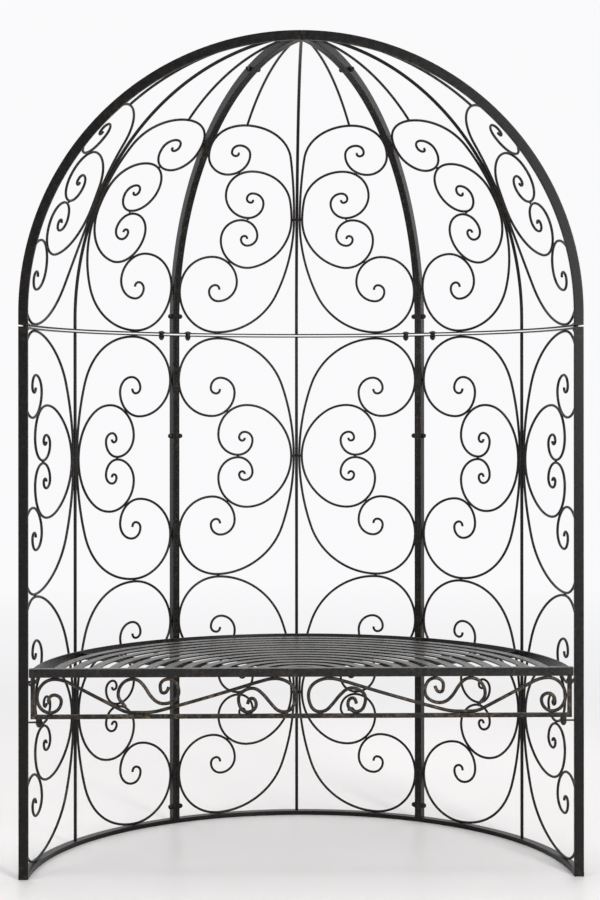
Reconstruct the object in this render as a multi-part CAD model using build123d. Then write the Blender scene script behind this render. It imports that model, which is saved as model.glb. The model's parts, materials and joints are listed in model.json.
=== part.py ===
from build123d import *
from math import acos, asin, atan, ceil, cos, degrees, radians, sin, sqrt
import os

# Garden arbor bench: a half-round arbor of three curved wall panels under three dome gores,
# with a half-moon slatted seat hung between the front posts. Millimetres, +Z up.
# The shapes are built about the arbor's vertical axis, which lies in the plane of its front.
# Saving moves them forward by half the depth, so the origin is the middle of the footprint.
# The open front faces -Y and the back panel stands at +Y.

# Main frame
outer_radius = 725.0
panel_angle = 60.0
tube_depth = 25.0
tube_width = 10.0
tube_wall = 1.5
tube_corner = 1.5
wall_height = 1414.0
foot_rail_thickness = 12.0
ring_rail_thickness = 3.0
ring_gap = 4.5
stub_height = 27.5
joint_gap = 0.3
touch_gap = 0.3

# Scrollwork of the walls
modules = 2
centre_rod_diameter = 9.0
wire_diameter = 7.0
large_rise_share = 0.568
large_loop_share = 0.343
large_curl_shares = (0.193, 0.120, 0.083, 0.046)
large_tip_share = 0.032
small_height_share = 0.434
small_reach_share = 0.369
small_rise_share = 0.310
small_outer_share = 0.590
small_curl_shares = (0.121, 0.067, 0.045, 0.027)
small_tip_share = 0.020
tip_turn = 100.0

# Scrollwork of the dome: heights are shares of the middle radius, the rest shares of a gore's half width
scroll_mid_share = 0.441
scroll_top_share = 0.875
upper_rise_share = 0.351
upper_loop_share = 0.326
upper_curl_shares = (0.196, 0.080, 0.071, 0.031)
upper_tip_share = 0.026
lower_rise_share = 0.559
lower_loop_share = 0.321
lower_curl_shares = (0.200, 0.162, 0.075, 0.056)
lower_tip_share = 0.032
small_up_height_share = 0.212
small_up_reach_share = 0.314
small_up_rise_share = 0.305
small_down_height_share = 0.206
small_down_reach_share = 0.366
small_down_rise_share = 0.193
dome_outer_share = 0.553
dome_curl_shares = (0.128, 0.086, 0.050, 0.031)
dome_tip_share = 0.020
dome_touch_gap = 0.6
side_rod_reach_share = 0.077

# Seat
seat_height = 538.0
beam_size = 22.0
beam_wall = 1.5
seat_side_gap = 2.0
seat_inset = 35.0
rim_height = 25.0
rim_thickness = 4.0
slat_width = 25.0
slat_thickness = 4.0
slat_pitch = 46.8
slat_drop = 3.0
slat_end_gap = 0.3
outer_slat_inset = 46.2
hub_radius = 31.0
bearer_thickness = 4.0
bearer_angles = (30.0, 60.0, 90.0, 120.0, 150.0)

# Apron under the front beam
apron_drop = 95.0
apron_bar = 11.0
apron_end_inset = 4.0
apron_rod_diameter = 9.0

# Seat supports
tab_thickness = 3.0
tab_length = 38.0
tab_width = 13.0
tab_drop = 7.0
hanger_inset = 27.0
ledge_length = 36.0
ledge_width = 20.0

# Fasteners
bolt_diameter = 6.0
bolt_hole_gap = 0.3
joint_head_diameter = 14.0
joint_head_height = 10.5
joint_nut_height = 15.0
nut_width = 14.0
wall_bolt_heights = (46.0, 1122.0)
rib_bolt_angles = (1.6, 69.0)
ring_bolt_inset = 43.0
ring_head_diameter = 22.0
ring_head_height = 5.0
cap_nut_height = 12.0
side_screw_drop = 11.0
side_screw_head = 10.0
side_screw_head_height = 3.0
side_screw_bite = 8.0

# Modelling
max_turn = 30.0
overrun = 40.0
search_step = 2
heading_probe = 0.03
straight_limit = 0.00001
parallel_limit = 0.0001

# Values that follow from the sizes above
inner_radius = outer_radius - tube_depth
mid_radius = outer_radius - tube_depth / 2
half_panel = panel_angle / 2
seat_radius = outer_radius - seat_inset
dome_base = wall_height + ring_gap
springing = dome_base + ring_rail_thickness + stub_height
wire_radius = wire_diameter / 2
rod_radius = centre_rod_diameter / 2
bolt_hole = bolt_diameter + 2 * bolt_hole_gap
post_height = wall_height - foot_rail_thickness - ring_rail_thickness
module_height = post_height / modules
first_back = rod_radius + touch_gap + wire_radius
second_back = first_back + wire_diameter + touch_gap
dome_scroll_mid = scroll_mid_share * mid_radius
dome_scroll_top = scroll_top_share * mid_radius
side_rod_reach = side_rod_reach_share * mid_radius
tube_reach = joint_gap / 2 + tube_width
seat_underside = seat_height - rim_height
beam_underside = seat_height - beam_size
apron_floor = beam_underside - apron_drop
beam_half = inner_radius - seat_side_gap
end_post_outer = beam_half - apron_end_inset
post_middle = tube_reach - tube_width / 2
panels = {"left": panel_angle, "back": 0.0, "right": -panel_angle}


def turned(shape, angle):
    """The shape turned about the vertical axis of the arbor."""
    return shape.rotate(Axis.Z, angle)


def mirrored(shape):
    """The shape on the other side of the arbor's middle plane."""
    return shape.mirror(Plane.YZ)


def half_width(radius, clearance):
    """Arc length from a panel's centre to where the side tube's face is a clearance away."""
    return radius * (radians(half_panel) - asin((tube_reach + clearance) / radius))


def on_wall(across, height):
    """A point on the middle of the wall's thickness, by arc length and height."""
    angle = across / mid_radius
    return Vector(mid_radius * sin(angle), mid_radius * cos(angle), height)


def on_dome(across, climb):
    """A point on the middle of the dome's thickness, by arc lengths across and up."""
    lift = max(climb, 0.0) / mid_radius
    ring = mid_radius * cos(lift)
    angle = across / ring
    height = springing + min(climb, 0.0) + mid_radius * sin(lift)
    return Vector(ring * sin(angle), ring * cos(angle), height)


def arc_stations(across, height, heading, arcs):
    """Stations along a chain of flat arcs, each given as a radius and a signed turn."""
    stations = [(across, height, heading)]
    for radius, turn in arcs:
        steps = max(1, ceil(abs(turn) / max_turn))
        step = turn / steps
        side = 1 if turn > 0 else -1
        for _ in range(steps):
            across -= side * radius * (sin(radians(heading)) - sin(radians(heading + step)))
            height += side * radius * (cos(radians(heading)) - cos(radians(heading + step)))
            heading += step
            stations.append((across, height, heading))
    return stations


def placed_stations(stations, place):
    """Points and directions in space of flat stations laid on a surface."""
    result = []
    for across, height, heading in stations:
        step_across = heading_probe * cos(radians(heading))
        step_height = heading_probe * sin(radians(heading))
        ahead = place(across + step_across, height + step_height)
        behind = place(across - step_across, height - step_height)
        result.append((place(across, height), (ahead - behind).normalized()))
    return result


def tangent_arc(start, direction, end):
    """An arc from a start and its direction to an end, or a line where that is straight."""
    chord = end - start
    if direction.cross(chord).length < chord.length * straight_limit:
        return Edge.make_line(start, end)
    return Edge.make_tangent_arc(start, direction, end)


def smooth_path(stations):
    """A smooth wire of two arcs between each pair of stations."""
    edges = []
    for (start, leave), (end, arrive) in zip(stations, stations[1:]):
        chord = end - start
        total = leave + arrive
        spread = 2 * (1 - leave.dot(arrive))
        if spread < parallel_limit:
            edges.append(tangent_arc(start, leave, end))
            continue
        along = chord.dot(total)
        reach = (sqrt(along * along + spread * chord.dot(chord)) - along) / spread
        first = start + leave * reach
        second = end - arrive * reach
        middle = (first + second) / 2
        edges.append(tangent_arc(start, leave, middle))
        edges.append(tangent_arc(middle, (second - first).normalized(), end))
    return Wire(edges)


def bent_rod(path, radius):
    """A round rod along a path, with square-cut ends."""
    section = Plane(origin=path @ 0, z_dir=path % 0) * Circle(radius)
    return sweep(section, path=path).solid()


def two_arc_quarter(reach, rise, end_radius):
    """Radius and turn of the flatter first arc of a quarter turn with two radii."""
    half = atan((reach - end_radius) / (rise - end_radius))
    radius = end_radius + (rise - end_radius) / sin(2 * half)
    return radius, degrees(2 * half)


def touching_radius(left, level, curl, centre_across, centre_height, loop, gap):
    """Radius of the arc that brings a curl to a given gap from a neighbouring loop."""
    side = left - centre_across
    up = level + curl - centre_height
    total = curl + loop + wire_diameter + gap
    return (side + up - sqrt(2 * total * total - (side - up) ** 2)) / 2


def curl_arcs(first, radii, tip):
    """The arcs of a curl that winds inwards by quarter turns."""
    quarters = [(radius, 90.0) for radius in (first, *radii)]
    return quarters + [(tip, tip_turn)]


def small_half(reach, rise, height, outer_share, radii, tip):
    """Arcs of one half of a small scroll, with the centre and radius of its outer loop."""
    loops = height - wire_radius - touch_gap / 2
    outer = loops * outer_share
    back, turn = two_arc_quarter(reach, height, rise)
    arcs = [(back, turn), (rise, 90.0 - turn), (outer, 90.0)]
    arcs += curl_arcs(loops - outer, radii, tip)
    return arcs, (second_back + reach, height - outer, outer)


def large_half(left, height, rise, loop, radii, tip, small_loop, gap):
    """Arcs of one half of a large scroll that touches post, rail and small scroll."""
    back, turn = two_arc_quarter(left - loop - first_back, height, rise)
    joined = touching_radius(left, height - loop, radii[0], *small_loop, gap)
    arcs = [(back, turn), (rise, 90.0 - turn), (loop, 90.0)]
    return arcs + curl_arcs(joined, radii, tip)


def whole_scroll(back, middle, upper, lower, place):
    """A scroll of two halves that leave its back upwards and downwards."""
    rising = arc_stations(back, middle, 90.0, [(radius, -turn) for radius, turn in upper])
    falling = arc_stations(back, middle, -90.0, lower)
    turned_back = [(across, height, heading + 180.0) for across, height, heading in falling]
    stations = turned_back[:0:-1] + rising
    return bent_rod(smooth_path(placed_stations(stations, place)), wire_radius)


def wall_scrolls():
    """One large and one small scroll of the back wall's lower right quarter."""
    width = gore_width()
    height = module_height / 2 - wire_radius - touch_gap / 2
    middle = foot_rail_thickness + module_height / 2
    curls = [share * width for share in small_curl_shares]
    small, loop = small_half(small_reach_share * width, small_rise_share * width,
                             small_height_share * height, small_outer_share,
                             curls, small_tip_share * width)
    radii = [share * width for share in large_curl_shares]
    large = large_half(width, height, large_rise_share * width, large_loop_share * width,
                       radii, large_tip_share * width, loop, touch_gap)
    return (whole_scroll(first_back, middle, large, large, on_wall),
            whole_scroll(second_back, middle, small, small, on_wall))


def dome_width(climb):
    """Greatest arc length from a gore's centre at which a wire clears the rib."""
    ring = mid_radius * cos(max(climb, 0.0) / mid_radius)
    return half_width(ring, wire_radius + touch_gap)


def widest_centre(level, radius):
    """The furthest place across the gore for a loop's centre that clears the rib."""
    angles = [radians(angle) for angle in range(-90, 91, search_step)]
    return min(dome_width(level + radius * sin(angle)) - radius * cos(angle) for angle in angles)


def gore_width():
    """Half the width of a gore at its foot, as far as a wire can reach."""
    return half_width(mid_radius, wire_radius + touch_gap)


def dome_scroll_top_place():
    """Arc lengths across and up of the highest point of a large dome scroll."""
    loop = upper_loop_share * gore_width()
    return widest_centre(dome_scroll_top - loop, loop), dome_scroll_top


def dome_small_halves():
    """The upper and lower half of a small dome scroll, each with its outer loop."""
    width = gore_width()
    curls = [share * width for share in dome_curl_shares]
    tip = dome_tip_share * width
    above = small_half(small_up_reach_share * width, small_up_rise_share * width,
                       small_up_height_share * mid_radius, dome_outer_share, curls, tip)
    below = small_half(small_down_reach_share * width, small_down_rise_share * width,
                       small_down_height_share * mid_radius, dome_outer_share, curls, tip)
    return above, below


def upper_large_half(small_loop):
    """The upper half of a large dome scroll, which leans on the rib."""
    width = gore_width()
    loop = upper_loop_share * width
    curls = [share * width for share in upper_curl_shares]
    left = dome_scroll_top_place()[0] + loop
    return large_half(left, dome_scroll_top - dome_scroll_mid, upper_rise_share * width, loop,
                      curls, upper_tip_share * width, small_loop, dome_touch_gap)


def lower_large_half(small_loop):
    """The lower half of a large dome scroll, which stands on the ring rail."""
    width = gore_width()
    loop = lower_loop_share * width
    curls = [share * width for share in lower_curl_shares]
    left = widest_centre(loop - stub_height + wire_radius + touch_gap, loop) + loop
    fall = dome_scroll_mid + stub_height - wire_radius - touch_gap
    return large_half(left, fall, lower_rise_share * width, loop, curls, lower_tip_share * width,
                      small_loop, dome_touch_gap)


def dome_scrolls():
    """One large and one small scroll of the back gore's right half."""
    (small_up, loop_up), (small_down, loop_down) = dome_small_halves()
    upper = upper_large_half(loop_up)
    lower = lower_large_half(loop_down)
    return (whole_scroll(first_back, dome_scroll_mid, upper, lower, on_dome),
            whole_scroll(second_back, dome_scroll_mid, small_up, small_down, on_dome))


def tube_section(depth, width, wall, corner):
    """Rounded rectangular tube section, as one face with its bore."""
    bore = Rectangle(depth - 2 * wall, width - 2 * wall)
    return RectangleRounded(depth, width, corner) - bore


def tangential_hole(radius, height):
    """A bolt hole across the tube at the right-hand edge of the back panel, before turning."""
    place = Plane(origin=(radius, -overrun, height), z_dir=(0, 1, 0))
    return extrude(place * Circle(bolt_hole / 2), 2 * overrun)


def upright_post(holes):
    """A post lying along the X radius with its inner face on its own panel's side."""
    place = Pos(mid_radius, post_middle, foot_rail_thickness)
    post = extrude(place * tube_section(tube_depth, tube_width, tube_wall, tube_corner), post_height)
    return (post - holes).solid()


def post_bolt_holes():
    """The two holes of a joint post."""
    return [tangential_hole(mid_radius, height) for height in wall_bolt_heights]


def seat_screw_hole():
    """The hole for the seat's side screw in a front post's inner face."""
    height = beam_underside - side_screw_drop
    place = Plane(origin=(mid_radius, tube_width / 2, height), z_dir=(-1, 0, 0))
    return extrude(place * Circle(bolt_hole / 2), tube_depth)


def bent_tube(section, turn):
    """A section carried up the stub and round the bend of a rib over the X radius."""
    foot = Pos(mid_radius, post_middle, springing - stub_height) * section
    crown = Pos(mid_radius, post_middle, springing) * section
    axle = Axis((0, post_middle, springing), (0, -1, 0))
    return extrude(foot, stub_height) + revolve(crown, axle, turn)


def rib_bolt_places():
    """Radius and height of each bolt through a pair of ribs."""
    lifts = [radians(angle) for angle in rib_bolt_angles]
    return [(mid_radius * cos(lift), springing + mid_radius * sin(lift)) for lift in lifts]


def dome_rib():
    """A rib over the X radius, standing on the ring rail, mitred and plugged at the apex."""
    lean = radians(half_panel)
    edge = joint_gap / 2 / sin(lean)
    mitre = Plane(origin=(edge, 0, 0), z_dir=(sin(lean), -cos(lean), 0))
    rib = bent_tube(Rectangle(tube_depth, tube_width), 90).split(mitre, keep=Keep.TOP)
    plug = degrees(2 * tube_depth / mid_radius)
    bore = Rectangle(tube_depth - 2 * tube_wall, tube_width - 2 * tube_wall)
    rib -= bent_tube(bore, 90 - plug)
    return (rib - [tangential_hole(*place) for place in rib_bolt_places()]).solid()


def arc_rail(base, thickness):
    """A flat curved rail of the back panel."""
    edge = degrees(asin(joint_gap / 2 / mid_radius))
    outer = CenterArc((0, 0), outer_radius, 90 - half_panel + edge, panel_angle - 2 * edge)
    inner = CenterArc((0, 0), inner_radius, 90 - half_panel + edge, panel_angle - 2 * edge)
    sides = [Line(outer @ 0, inner @ 0), Line(outer @ 1, inner @ 1)]
    face = make_face(Curve() + [outer, inner] + sides)
    return extrude(Pos(0, 0, base) * face, thickness).solid()


def ring_places():
    """Where the ring bolts stand, for one panel, seen from above."""
    turn = degrees(ring_bolt_inset / mid_radius)
    return [(90 + side * (half_panel - turn)) for side in (-1, 1)]


def drilled_rail(base):
    """A ring rail with its two bolt holes."""
    rail = arc_rail(base, ring_rail_thickness)
    for angle in ring_places():
        place = Vector(mid_radius, 0, base - overrun).rotate(Axis.Z, angle)
        rail -= Pos(*place) * extrude(Circle(bolt_hole / 2), 2 * overrun)
    return rail.solid()


def wall_centre_rod():
    """The straight rod up the middle of a wall panel."""
    return extrude(Pos(0, mid_radius, foot_rail_thickness) * Circle(rod_radius), post_height).solid()


def dome_centre_rod():
    """The rod up the middle of a gore, ending where it meets the two ribs."""
    reach = (tube_reach + rod_radius + touch_gap) / sin(radians(half_panel))
    top = degrees(acos(reach / mid_radius))
    foot = Vector(0, mid_radius, springing - stub_height)
    crown = Vector(0, mid_radius, springing)
    centre = Plane(origin=(0, 0, springing), z_dir=(1, 0, 0), x_dir=(0, 1, 0))
    bend = Edge.make_circle(mid_radius, centre, 0, top)
    return bent_rod(Wire([Edge.make_line(foot, crown), bend]), rod_radius)


def dome_side_rod():
    """The rod from the top of a large dome scroll up to the rib, on a great circle."""
    across, climb = dome_scroll_top_place()
    start = on_dome(across, climb + wire_radius + touch_gap)
    clear = tube_reach + wire_radius + touch_gap
    side = radians(half_panel) - asin(clear / side_rod_reach)
    height = springing + sqrt(mid_radius ** 2 - side_rod_reach ** 2)
    end = Vector(side_rod_reach * sin(side), side_rod_reach * cos(side), height)
    centre = Vector(0, 0, springing)
    middle = centre + ((start + end) / 2 - centre).normalized() * mid_radius
    return bent_rod(Wire([Edge.make_three_point_arc(start, middle, end)]), wire_radius)


def both_halves(shapes):
    """The shapes and their mirror images across the panel's middle."""
    return shapes + [mirrored(shape) for shape in shapes]


def stacked(shape):
    """Copies of a wall scroll, one in each module."""
    return [Pos(0, 0, level * module_height) * shape for level in range(modules)]


def seat_beam():
    """The square tube across the front of the seat."""
    place = Plane(origin=(-beam_half, beam_size / 2, seat_height - beam_size / 2), z_dir=(1, 0, 0))
    section = place * tube_section(beam_size, beam_size, beam_wall, tube_corner)
    return extrude(section, 2 * beam_half).solid()


def half_ring(outer, inner, base, height):
    """A half ring behind the front beam, concentric with the arbor."""
    back = beam_size + slat_end_gap
    ring = extrude(Pos(0, 0, base) * (Circle(outer) - Circle(inner)), height)
    room = Pos(0, back + outer, base + height / 2) * Box(4 * outer, 2 * outer, 4 * height)
    return (ring & room).solid()


def slat_radii():
    """Inner radii of the slats, from the outermost inwards."""
    radii = []
    inner = seat_radius - rim_thickness - outer_slat_inset - slat_width
    while inner > beam_size + slat_end_gap + slat_width:
        radii.append(inner)
        inner -= slat_pitch
    return radii


def seat_slats():
    """The concentric flat slats, and the half disc at their centre."""
    base = seat_height - slat_drop - slat_thickness
    slats = [half_ring(inner + slat_width, inner, base, slat_thickness) for inner in slat_radii()]
    back = beam_size + slat_end_gap
    behind = Pos(0, back + hub_radius, base) * Box(4 * hub_radius, 2 * hub_radius, 4 * slat_thickness)
    hub = extrude(Pos(0, 0, base) * Circle(hub_radius), slat_thickness) & behind
    return slats + [hub.solid()]


def seat_bearers():
    """Flat bars on edge that carry the slats, from the front beam to the rim."""
    height = rim_height - slat_drop - slat_thickness
    limit = seat_radius - rim_thickness
    room = extrude(Pos(0, 0, seat_underside) * Circle(limit - touch_gap / 2), height)
    front = beam_size + touch_gap
    behind = Pos(0, front + outer_radius, seat_underside + height / 2)
    room = room & behind * Box(2 * outer_radius, 2 * outer_radius, 2 * height)
    bearers = []
    for angle in bearer_angles:
        start = bearer_thickness / 2 / sin(radians(half_panel / 2))
        bar = Pos(start + limit / 2, 0, seat_underside + height / 2) * Box(limit, bearer_thickness, height)
        bearers.append((turned(bar, angle) & room).solid())
    return bearers


def apron_rail():
    """The bar along the foot of the apron, with a hole near each end for the hanger bolts."""
    place = Pos(0, apron_bar / 2, apron_floor - apron_bar / 2)
    rail = place * Box(2 * end_post_outer, apron_bar, apron_bar)
    for side in (-1, 1):
        hole = Cylinder(bolt_hole / 2, 2 * overrun)
        rail -= Pos(side * (inner_radius - hanger_inset), tab_width / 2, apron_floor) * hole
    return rail.solid()


def apron_end_posts():
    """The short uprights at the ends of the apron, drilled for the side screws."""
    posts = []
    level = beam_underside - side_screw_drop
    for side in (-1, 1):
        across = side * (end_post_outer - apron_bar / 2)
        post = Pos(across, apron_bar / 2, apron_floor + apron_drop / 2) * Box(apron_bar, apron_bar, apron_drop)
        hole = Rot(0, 90, 0) * Cylinder(bolt_hole / 2, 2 * overrun)
        posts.append((post - Pos(across, tube_width / 2, level) * hole).solid())
    return posts


# Stations of the apron rods: shares of the beam's half length and of the apron's height, and headings
long_rod_shares = [
    (-0.9250, 0.26, 100.0), (-0.9290, 0.37, 90.0), (-0.9085, 0.53, 0.0), (-0.8825, 0.34, -90.0),
    (-0.9225, 0.00, -180.0), (-0.9710, 0.45, -270.0), (-0.9080, 1.00, -360.0),
    (-0.8500, 0.875, -387.9), (-0.6650, 0.085, -387.9), (-0.5830, 0.00, -360.0),
    (-0.5200, 0.06, -345.3), (-0.1700, 0.88, -345.3), (-0.0980, 1.00, -360.0),
    (-0.0235, 0.50, -450.0), (-0.0660, 0.00, -540.0), (-0.1260, 0.37, -592.0),
    (-0.1950, 0.70, -525.3), (-0.2335, 0.39, -450.0), (-0.2005, 0.00, -360.0),
    (-0.1685, 0.23, -270.0), (-0.1850, 0.41, -180.0), (-0.2000, 0.24, -100.0)]
short_rod_shares = [
    (-0.6470, 0.16, 125.0), (-0.6745, 0.54, 90.0), (-0.6215, 1.00, 0.0), (-0.5660, 0.62, -60.0),
    (-0.5070, 0.26, 0.0), (-0.4520, 0.62, 90.0), (-0.4900, 1.00, 180.0), (-0.5205, 0.79, 270.0),
    (-0.5080, 0.58, 360.0), (-0.4890, 0.76, 430.0)]


def apron_rod(shares):
    """A bent apron rod through its stations, upright in the plane of the apron's rail."""
    radius = apron_rod_diameter / 2
    low = apron_floor + radius + touch_gap / 2
    room = apron_drop - apron_rod_diameter - touch_gap
    stations = []
    for across, climb, heading in shares:
        place = Vector(across * beam_half, apron_bar / 2, low + climb * room)
        direction = Vector(cos(radians(heading)), 0, sin(radians(heading)))
        stations.append((place, direction))
    return bent_rod(smooth_path(stations), radius)


def front_tabs():
    """Plates welded to the front posts, on which the apron's lower rail is hung."""
    level = apron_floor - apron_bar - tab_drop - tab_thickness / 2
    tabs = []
    for side in (-1, 1):
        across = side * (inner_radius - tab_length / 2)
        tab = Pos(across, tab_width / 2, level) * Box(tab_length, tab_width, tab_thickness)
        hole = Pos(side * (inner_radius - hanger_inset), tab_width / 2, level)
        tabs.append((tab - hole * Cylinder(bolt_hole / 2, overrun)).solid())
    return tabs


def back_ledges():
    """Plates welded to the joint posts, on which the back of the seat lies."""
    ledges = []
    for angle in (90 - half_panel, 90 + half_panel):
        plate = Box(ledge_length, ledge_width, tab_thickness)
        level = seat_underside - tab_thickness / 2
        ledges.append(turned(Pos(inner_radius - ledge_length / 2, 0, level) * plate, angle).solid())
    return ledges


def round_head(diameter, height):
    """A domed bolt head standing on the XY plane."""
    radius = (diameter ** 2 / 4 + height ** 2) / (2 * height)
    ball = Pos(0, 0, height - radius) * Sphere(radius)
    return ball & Pos(0, 0, height) * Box(2 * diameter, 2 * diameter, 2 * height)


def hex_nut(width, height, bore):
    """A hexagon nut standing on the XY plane."""
    blank = extrude(RegularPolygon(width / 2, 6, major_radius=False), height)
    return blank - extrude(Circle(bore), height)


def domed_nut(height):
    """A domed nut standing on the XY plane, blind and bored for its bolt."""
    crown = height / 2
    blank = extrude(RegularPolygon(nut_width / 2, 6, major_radius=False), crown)
    dome = Pos(0, 0, crown) * round_head(nut_width, crown)
    bore = extrude(Circle(bolt_diameter / 2 + bolt_hole_gap / 2), crown + touch_gap)
    return blank + dome - bore


def joint_bolt():
    """A bolt along +Z with its head below the XY plane and its shank through two tubes."""
    grip = 2 * tube_reach
    shank = extrude(Circle(bolt_diameter / 2), grip + joint_nut_height / 2)
    head = Rot(180, 0, 0) * round_head(joint_head_diameter, joint_head_height)
    return (head + shank).solid()


def joint_nut():
    """The domed nut of a joint bolt."""
    return (Pos(0, 0, 2 * tube_reach) * domed_nut(joint_nut_height)).solid()


def at_joint(shape, radius, height, side):
    """The fastener laid across a joint, with its head on the outer panels' side."""
    place = Plane(origin=(radius, -tube_reach, height), z_dir=(0, 1, 0), x_dir=(1, 0, 0))
    fitted = turned(place * shape, 90 - half_panel)
    return fitted if side > 0 else mirrored(fitted)


def joint_places():
    """Radius and height of each bolt through a pair of joint tubes."""
    return [(mid_radius, height) for height in wall_bolt_heights] + rib_bolt_places()


def joint_fasteners(shape):
    """The fastener at each place of both joints."""
    return [at_joint(shape, radius, height, side) for side in (-1, 1) for radius, height in joint_places()]


def at_ring(shape):
    """The fastener at each ring bolt place of the three panels."""
    result = []
    for turn in panels.values():
        for angle in ring_places():
            result.append(turned(Pos(mid_radius, 0, 0) * shape, angle + turn).solid())
    return result


def ring_bolt():
    """A ring bolt with its head on the dome's rail."""
    top = dome_base + ring_rail_thickness
    length = 2 * ring_rail_thickness + ring_gap + cap_nut_height / 2
    shank = extrude(Pos(0, 0, top - length) * Circle(bolt_diameter / 2), length)
    return shank + Pos(0, 0, top) * round_head(ring_head_diameter, ring_head_height)


def ring_spacer():
    """The washer between the two rails of the ring."""
    ring = Circle(nut_width / 2) - Circle(bolt_hole / 2)
    return extrude(Pos(0, 0, wall_height) * ring, ring_gap)


def cap_nut(top):
    """A domed nut hanging under a level."""
    return Pos(0, 0, top) * Rot(180, 0, 0) * domed_nut(cap_nut_height)


def hanger_bolt():
    """A bolt down through the apron's rail and the tab, with its head on the rail's bore."""
    length = apron_bar + tab_drop + tab_thickness + cap_nut_height / 2
    return extrude(Pos(0, 0, apron_floor - length) * Circle(bolt_diameter / 2), length)


def hanger_spacer():
    """The nut between the apron's rail and the tab."""
    return Pos(0, 0, apron_floor - apron_bar - tab_drop) * hex_nut(nut_width, tab_drop, bolt_hole / 2)


def at_hangers(shape):
    """The fastener at both hanger bolts."""
    across = inner_radius - hanger_inset
    return [Pos(side * across, tab_width / 2, 0) * shape for side in (-1, 1)]


def side_screw():
    """A screw from the apron's end post into the front post beside it."""
    level = beam_underside - side_screw_drop
    inner = end_post_outer - apron_bar
    place = Plane(origin=(inner, tube_width / 2, level), z_dir=(1, 0, 0))
    shank = extrude(Circle(bolt_diameter / 2), inner_radius + side_screw_bite - inner)
    head = Rot(180, 0, 0) * round_head(side_screw_head, side_screw_head_height)
    return (place * (shank + head)).solid()


def save(name, solids):
    """Write the solids of one sub-part."""
    placed = [Pos(0, -outer_radius / 2, 0) * solid for solid in solids]
    shape = placed[0] if len(placed) == 1 else Compound(children=placed)
    export_step(shape, f"parts/{name}.step")


def make_walls():
    """The three wall panels."""
    large, small = wall_scrolls()
    joint_post = turned(upright_post(post_bolt_holes()), 90 - half_panel)
    front_post = turned(upright_post([seat_screw_hole()]), 90 - half_panel)
    for name, turn in panels.items():
        right = front_post if name == "right" else joint_post
        left = front_post if name == "left" else joint_post
        save(f"{name}_wall_right_post", [turned(right, turn)])
        save(f"{name}_wall_left_post", [turned(mirrored(left), turn)])
        save(f"{name}_wall_bottom_rail", [turned(arc_rail(0.0, foot_rail_thickness), turn)])
        save(f"{name}_wall_top_rail", [turned(drilled_rail(wall_height - ring_rail_thickness), turn)])
        save(f"{name}_wall_centre_rod", [turned(wall_centre_rod(), turn)])
        save(f"{name}_wall_large_scrolls", [turned(s, turn) for s in both_halves(stacked(large))])
        save(f"{name}_wall_small_scrolls", [turned(s, turn) for s in both_halves(stacked(small))])


def make_dome():
    """The three dome gores."""
    large, small = dome_scrolls()
    rib = turned(dome_rib(), 90 - half_panel)
    side_rod = dome_side_rod()
    centre_rod = dome_centre_rod()
    rail = drilled_rail(dome_base)
    for name, turn in panels.items():
        save(f"{name}_dome_right_rib", [turned(rib, turn)])
        save(f"{name}_dome_left_rib", [turned(mirrored(rib), turn)])
        save(f"{name}_dome_ring_rail", [turned(rail, turn)])
        save(f"{name}_dome_centre_rod", [turned(centre_rod, turn)])
        save(f"{name}_dome_side_rods", [turned(s, turn) for s in both_halves([side_rod])])
        save(f"{name}_dome_large_scrolls", [turned(s, turn) for s in both_halves([large])])
        save(f"{name}_dome_small_scrolls", [turned(s, turn) for s in both_halves([small])])


def make_seat():
    """The seat, its apron and what carries them."""
    rim = half_ring(seat_radius, seat_radius - rim_thickness, seat_underside, rim_height)
    save("seat_front_beam", [seat_beam()])
    save("seat_rim", [rim])
    save("seat_slats", seat_slats())
    save("seat_bearers", seat_bearers())
    save("apron_lower_rail", [apron_rail()])
    save("apron_end_posts", apron_end_posts())
    save("apron_long_scrolls", both_halves([apron_rod(long_rod_shares)]))
    save("apron_short_scrolls", both_halves([apron_rod(short_rod_shares)]))
    save("seat_front_tabs", front_tabs())
    save("seat_back_ledges", back_ledges())


def make_fasteners():
    """Bolts, nuts, spacers and screws."""
    tab_underside = apron_floor - apron_bar - tab_drop - tab_thickness
    save("joint_bolts", joint_fasteners(joint_bolt()))
    save("joint_nuts", joint_fasteners(joint_nut()))
    save("ring_bolts", at_ring(ring_bolt()))
    save("ring_spacers", at_ring(ring_spacer()))
    save("ring_nuts", at_ring(cap_nut(wall_height - ring_rail_thickness)))
    save("hanger_bolts", at_hangers(hanger_bolt()))
    save("hanger_nuts", at_hangers(cap_nut(tab_underside)) + at_hangers(hanger_spacer()))
    save("seat_side_screws", both_halves([side_screw()]))


os.makedirs("parts", exist_ok=True)
make_walls()
make_dome()
make_seat()
make_fasteners()
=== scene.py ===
"""Garden arbor bench: a half-round scrolled metal arbor with a half-moon slatted seat."""

import json
import math
from types import SimpleNamespace

import bmesh
import bpy
from bpy.props import FloatProperty, FloatVectorProperty, IntProperty, PointerProperty
from mathutils import Matrix, Quaternion, Vector

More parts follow.
